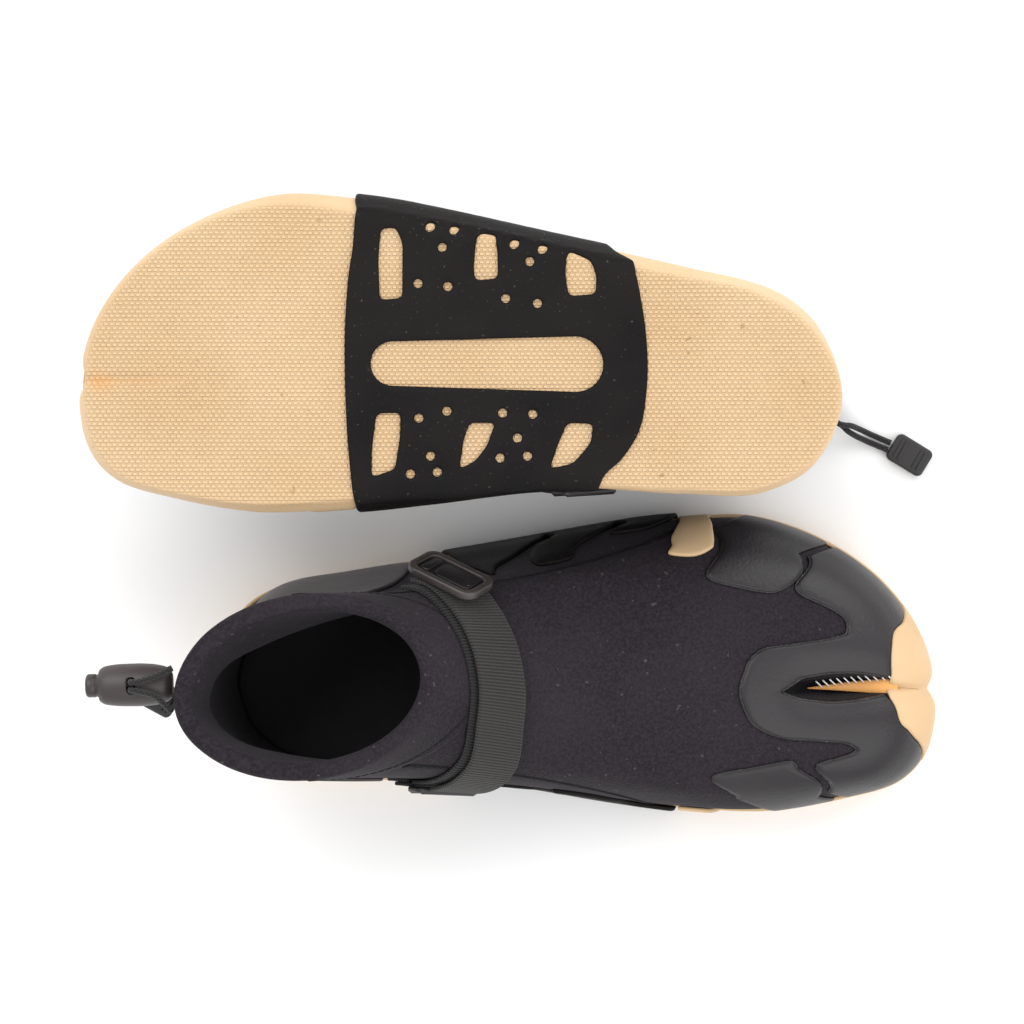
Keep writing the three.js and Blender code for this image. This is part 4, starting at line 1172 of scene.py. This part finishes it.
def make_badge(boot):
    """The badge on the strap's end: a frame round a dark face with a plain raised panel."""
    at = BADGE["at"]
    ahead, behind = (boot.skin(s, strap_ring(s)) for s in (at + 0.004, at - 0.004))
    move = stand(boot.skin(at, strap_ring(at), BADGE["off"]), ahead - behind, boot.normal(at, strap_ring(at)))
    verts, faces = ring_solid(rounded_rect(*BADGE["frame"]), rounded_rect(*BADGE["window"]),
                              BADGE["thick"], 0.9)
    add_piece(boot, "badge_surround", (move(verts), faces), "badge", "moulded_plastic", ["badge_frame"],
              "_strap_end")
    made = []
    for size, thick, bevel, place in (((23.4, 12.4, 2.7), 2.0, 0.5, (0, 0, 0)),
                                      ((15.5, 10.2, 2), 0.9, 0.35, (-3.1, 0, 1.8)),
                                      ((3.4, 11, 1.1), 1.3, 0.5, (8.6, 0, 1.6)),
                                      ((1.3, 1.3, 0.6), 0.7, 0.3, (-9.6, 2.4, 2.4))):
        verts, faces = moulding(plate_rings(rounded_rect(*size), thick, bevel))
        made.append(plain(move(verts + place), faces))
    add_piece(boot, "badge_face", joined(made)[:2], "plastic", "moulded_plastic", ["badge_plate"],
              "_strap_end")


def make_loop(boot):
    """The ladder loop that the strap turns round: a frame with rounded bars."""
    at = TURN + 0.004
    t = strap_ring(at)
    rise = boot.skin(at, t + 0.2) - boot.skin(at, t - 0.2)
    out = boot.normal(at, t)
    move = stand(boot.skin(at, t, 3), np.cross(rise, out), out)
    verts, faces = ring_solid(rounded_rect(9, 28, 2.5), rounded_rect(4.2, 23, 1), 2.2, 0.8)
    parts = [plain(move(verts), faces)]
    for x in (-3.4, 3.4):
        line = np.c_[np.full(12, x), np.linspace(-12, 12, 12), np.full(12, 1.9)]
        parts.append(tube(move(line), 0.8, 10))
    add_piece(boot, "ladder_loop", joined(parts)[:2], "plastic", "moulded_plastic", ["buckle_loop"])


# ---- the cord lock ----
def lathe(profile, sides=56):
    """A closed solid of revolution about X from (radius, x) points; the first and last lie on the axis."""
    angle = np.linspace(0, 2 * np.pi, sides, endpoint=False)
    rings = [np.c_[np.full(sides, x), np.cos(angle) * max(r, 0.02), np.sin(angle) * max(r, 0.02)]
             for r, x in profile]
    return moulding(rings)


def cut(thing, verts, faces):
    """Takes a solid out of a piece, in metres."""
    tool = new_object("tool", verts, faces, smooth_faces=False)
    modifier = thing.modifiers.new("cut", "BOOLEAN")
    modifier.object, modifier.operation, modifier.solver = tool, "DIFFERENCE", "EXACT"
    shape = bpy.data.meshes.new_from_object(thing.evaluated_get(bpy.context.evaluated_depsgraph_get()))
    thing.modifiers.clear()
    thing.data = shape
    bpy.data.objects.remove(tool)


def make_barrel(boot, move, hole):
    """The lock's barrel, bored for the button and cut through for the cords."""
    bore, radius, length, depth = (BARREL[key] for key in ("bore", "radius", "length", "depth"))
    body = catmull([(radius - 1.7, 0.4), (radius - 0.9, 1.8), (radius - 0.2, 6), (radius, 11), (radius, 16),
                    (radius - 0.5, 21), (radius - 1.5, 24.6), (radius - 2.9, length - 0.3)], False, 36)[0]
    profile = [(0, depth), (bore, depth), (bore, 0.3), (bore + 0.3, 0), (bore + 1.1, 0)]
    profile += [tuple(p) for p in body] + [(radius - 3.6, length), (0, length)]
    verts, faces = lathe(profile)
    barrel = new_object(f"boot_{boot.name}_lock_body", move(verts - hole), faces, boot)
    slot = tapered_slot((0, -THREAD - 0.1), (0, THREAD + 0.1), BARREL["slot"], BARREL["slot"])
    verts, faces = moulding([np.c_[slot, np.full(len(slot), z)] for z in (-20.0, 20.0)])
    cut(barrel, boot.place(move(verts)), faces)
    finish_piece(barrel, "barrel", "moulded_plastic", f"boot_{boot.name}_lock",
                 f"boot_{boot.name}_lock_barrel")


def make_button(boot, move, hole):
    """The lock's button, with a dished thumb face and a groove."""
    r, out, inside_end = BUTTON["radius"], BUTTON["out"], BUTTON["inside"]
    tip = [(r - 1.3 + 1.3 * math.sin(a), -out + 1.3 * (1 - math.cos(a)))
           for a in np.linspace(0, math.pi / 2, 8)]
    profile = [(0, -out + 0.35), (r - 2.4, -out + 0.3), (r - 1.9, -out)] + tip
    profile += [(r, -1.4), (r - 0.25, -1.2), (r - 0.25, -0.8), (r, -0.6), (r, inside_end), (0, inside_end)]
    verts, faces = lathe(profile)
    add_piece(boot, "lock_plunger", (move(verts - hole), faces), "barrel", "moulded_plastic",
              ["lock_button"], "_button")


def make_spring(boot, move, hole):
    """The coil spring behind the button."""
    name = boot.name
    low, high = BUTTON["inside"] + 0.4, BARREL["depth"] - 0.4
    share = np.linspace(0, 1, 150)
    turns = SPRING["turns"] * 2 * np.pi * share
    line = np.c_[low + (high - low) * share, SPRING["radius"] * np.cos(turns),
                 SPRING["radius"] * np.sin(turns)] - hole
    spring = new_object(f"boot_{name}_lock_coil", *tube(move(line), SPRING["wire"], 8)[:2], boot)
    spring.data.materials.append(LOOKS["steel"])
    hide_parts(f"boot_{name}_lock_spring")
    ends = boot.place(move(np.array([[low, 0, 0], [high, 0, 0]]) - hole))
    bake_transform(spring)


def make_lock(boot):
    """The cord lock, its pieces drawn along X from the barrel's open end and set down by the cord hole."""
    move = stand(*DRAW[boot.name]["lock"])
    hole = [BARREL["hole"], 0, 0]
    for make_part in (make_barrel, make_button, make_spring):
        make_part(boot, move, hole)


# ---- sewing ----
def dashes(boot, s_values, t, off, length, radius):
    """Short stitches along a ring of the boot, each sinking in at its ends."""
    half = length / 2 / 200.0
    return [tube(np.array([boot.skin(s + half * k, t, off - 0.25 * abs(k)) for k in (-1, -0.5, 0, 0.5, 1)]),
                 radius, 6) for s in s_values]


def zigzag(boot, s, t0, t1, count, reach, off, radius):
    """Flat seam stitching: thread from side to side of a seam that runs up the boot."""
    ts = np.linspace(t0, t1, count)
    side = np.where(np.arange(count) % 2, 1, -1)
    fine = np.linspace(0, count - 1, count * 3)
    t, x = np.interp(fine, np.arange(count), ts), np.interp(fine, np.arange(count), side)
    width = np.linalg.norm(boot.skin(s + 0.01, t) - boot.skin(s - 0.01, t), axis=1) / 0.02
    line = boot.skin(s + x * reach / width, t, off + 0.12 * (1 - np.abs(x)))
    return tube(line, radius, 5)


def make_sewing(boot):
    """The collar's hem stitches, the flat seams, the heel seam and the two bar tacks on the cuff."""
    parts = dashes(boot, np.arange(0, 1, 1 / 110), 6.16, 0.5, 1.5, 0.26)
    for reach, off in ((1.7, 0.05), (-1.7, 0.12)):
        parts += [zigzag(boot, s, 1.2, 5.95, 96, reach, off, 0.24) for s in SEAMS]
    parts.append(zigzag(boot, 0.5, 2.2, 5.95, 70, 1.5, 0.1, 0.22))
    for centre in (0.235, 0.73):
        for k in np.linspace(-1, 1, 5):
            parts.append(zigzag(boot, centre + 0.004 * k, 6.5, 6.86, 8, 0.5, 0.42, 0.2))
    add_piece(boot, "sewing", joined(parts)[:2], "thread", "neoprene")


for each in BOOTS:
    for make in (make_outsole, make_upper, make_cuff, make_footbed, make_overlays, make_split, make_harness,
                 make_straps, make_badge, make_loop, make_lock, make_sewing):
        make(each)
    for key, look in (("lasting_board", "board"), ("collar_cord", "cord")):
        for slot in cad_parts[f"boot_{each.name}_{key}"].material_slots:
            slot.material = LOOKS[look]


# ---- floor and light ----
# Soft lamps that face the pair: name, place in m, size in m and power in W.
LAMPS = [("key", (-0.7, 0.9, 1.5), 1.2, 16), ("fill", (0.9, -0.7, 1.3), 1.4, 10),
         ("rim", (1.0, 0.9, 0.9), 0.8, 6)]


def make_stage():
    k = Look("pale_floor", 0.7, specular=0.2)
    k.colour(k.mix(k.ramp(k.noise(6.0), 0.3, 0.7), (0.9, 0.9, 0.9, 1), (0.93, 0.93, 0.93, 1)))
    floor = new_object("floor", [(-3, -3, 0), (3, -3, 0), (3, 3, 0), (-3, 3, 0)], [[0, 1, 2, 3]])
    floor.location.z = -0.0004
    floor.data.materials.append(k.material)
    for name, place, size, power in LAMPS:
        lamp = bpy.data.objects.new(name, bpy.data.lights.new(name, "AREA"))
        bpy.context.scene.collection.objects.link(lamp)
        lamp.location = place
        lamp.rotation_euler = (-Vector(place)).to_track_quat("-Z", "Y").to_euler()
        lamp.data.size, lamp.data.energy = size, power
    world = bpy.data.worlds.new("studio")
    world.use_nodes = True
    world.node_tree.nodes["Background"].inputs["Color"].default_value = (1, 1, 1, 1)
    world.node_tree.nodes["Background"].inputs["Strength"].default_value = 0.95
    bpy.context.scene.world = world
    bpy.context.scene.view_settings.view_transform = "Standard"


make_stage()
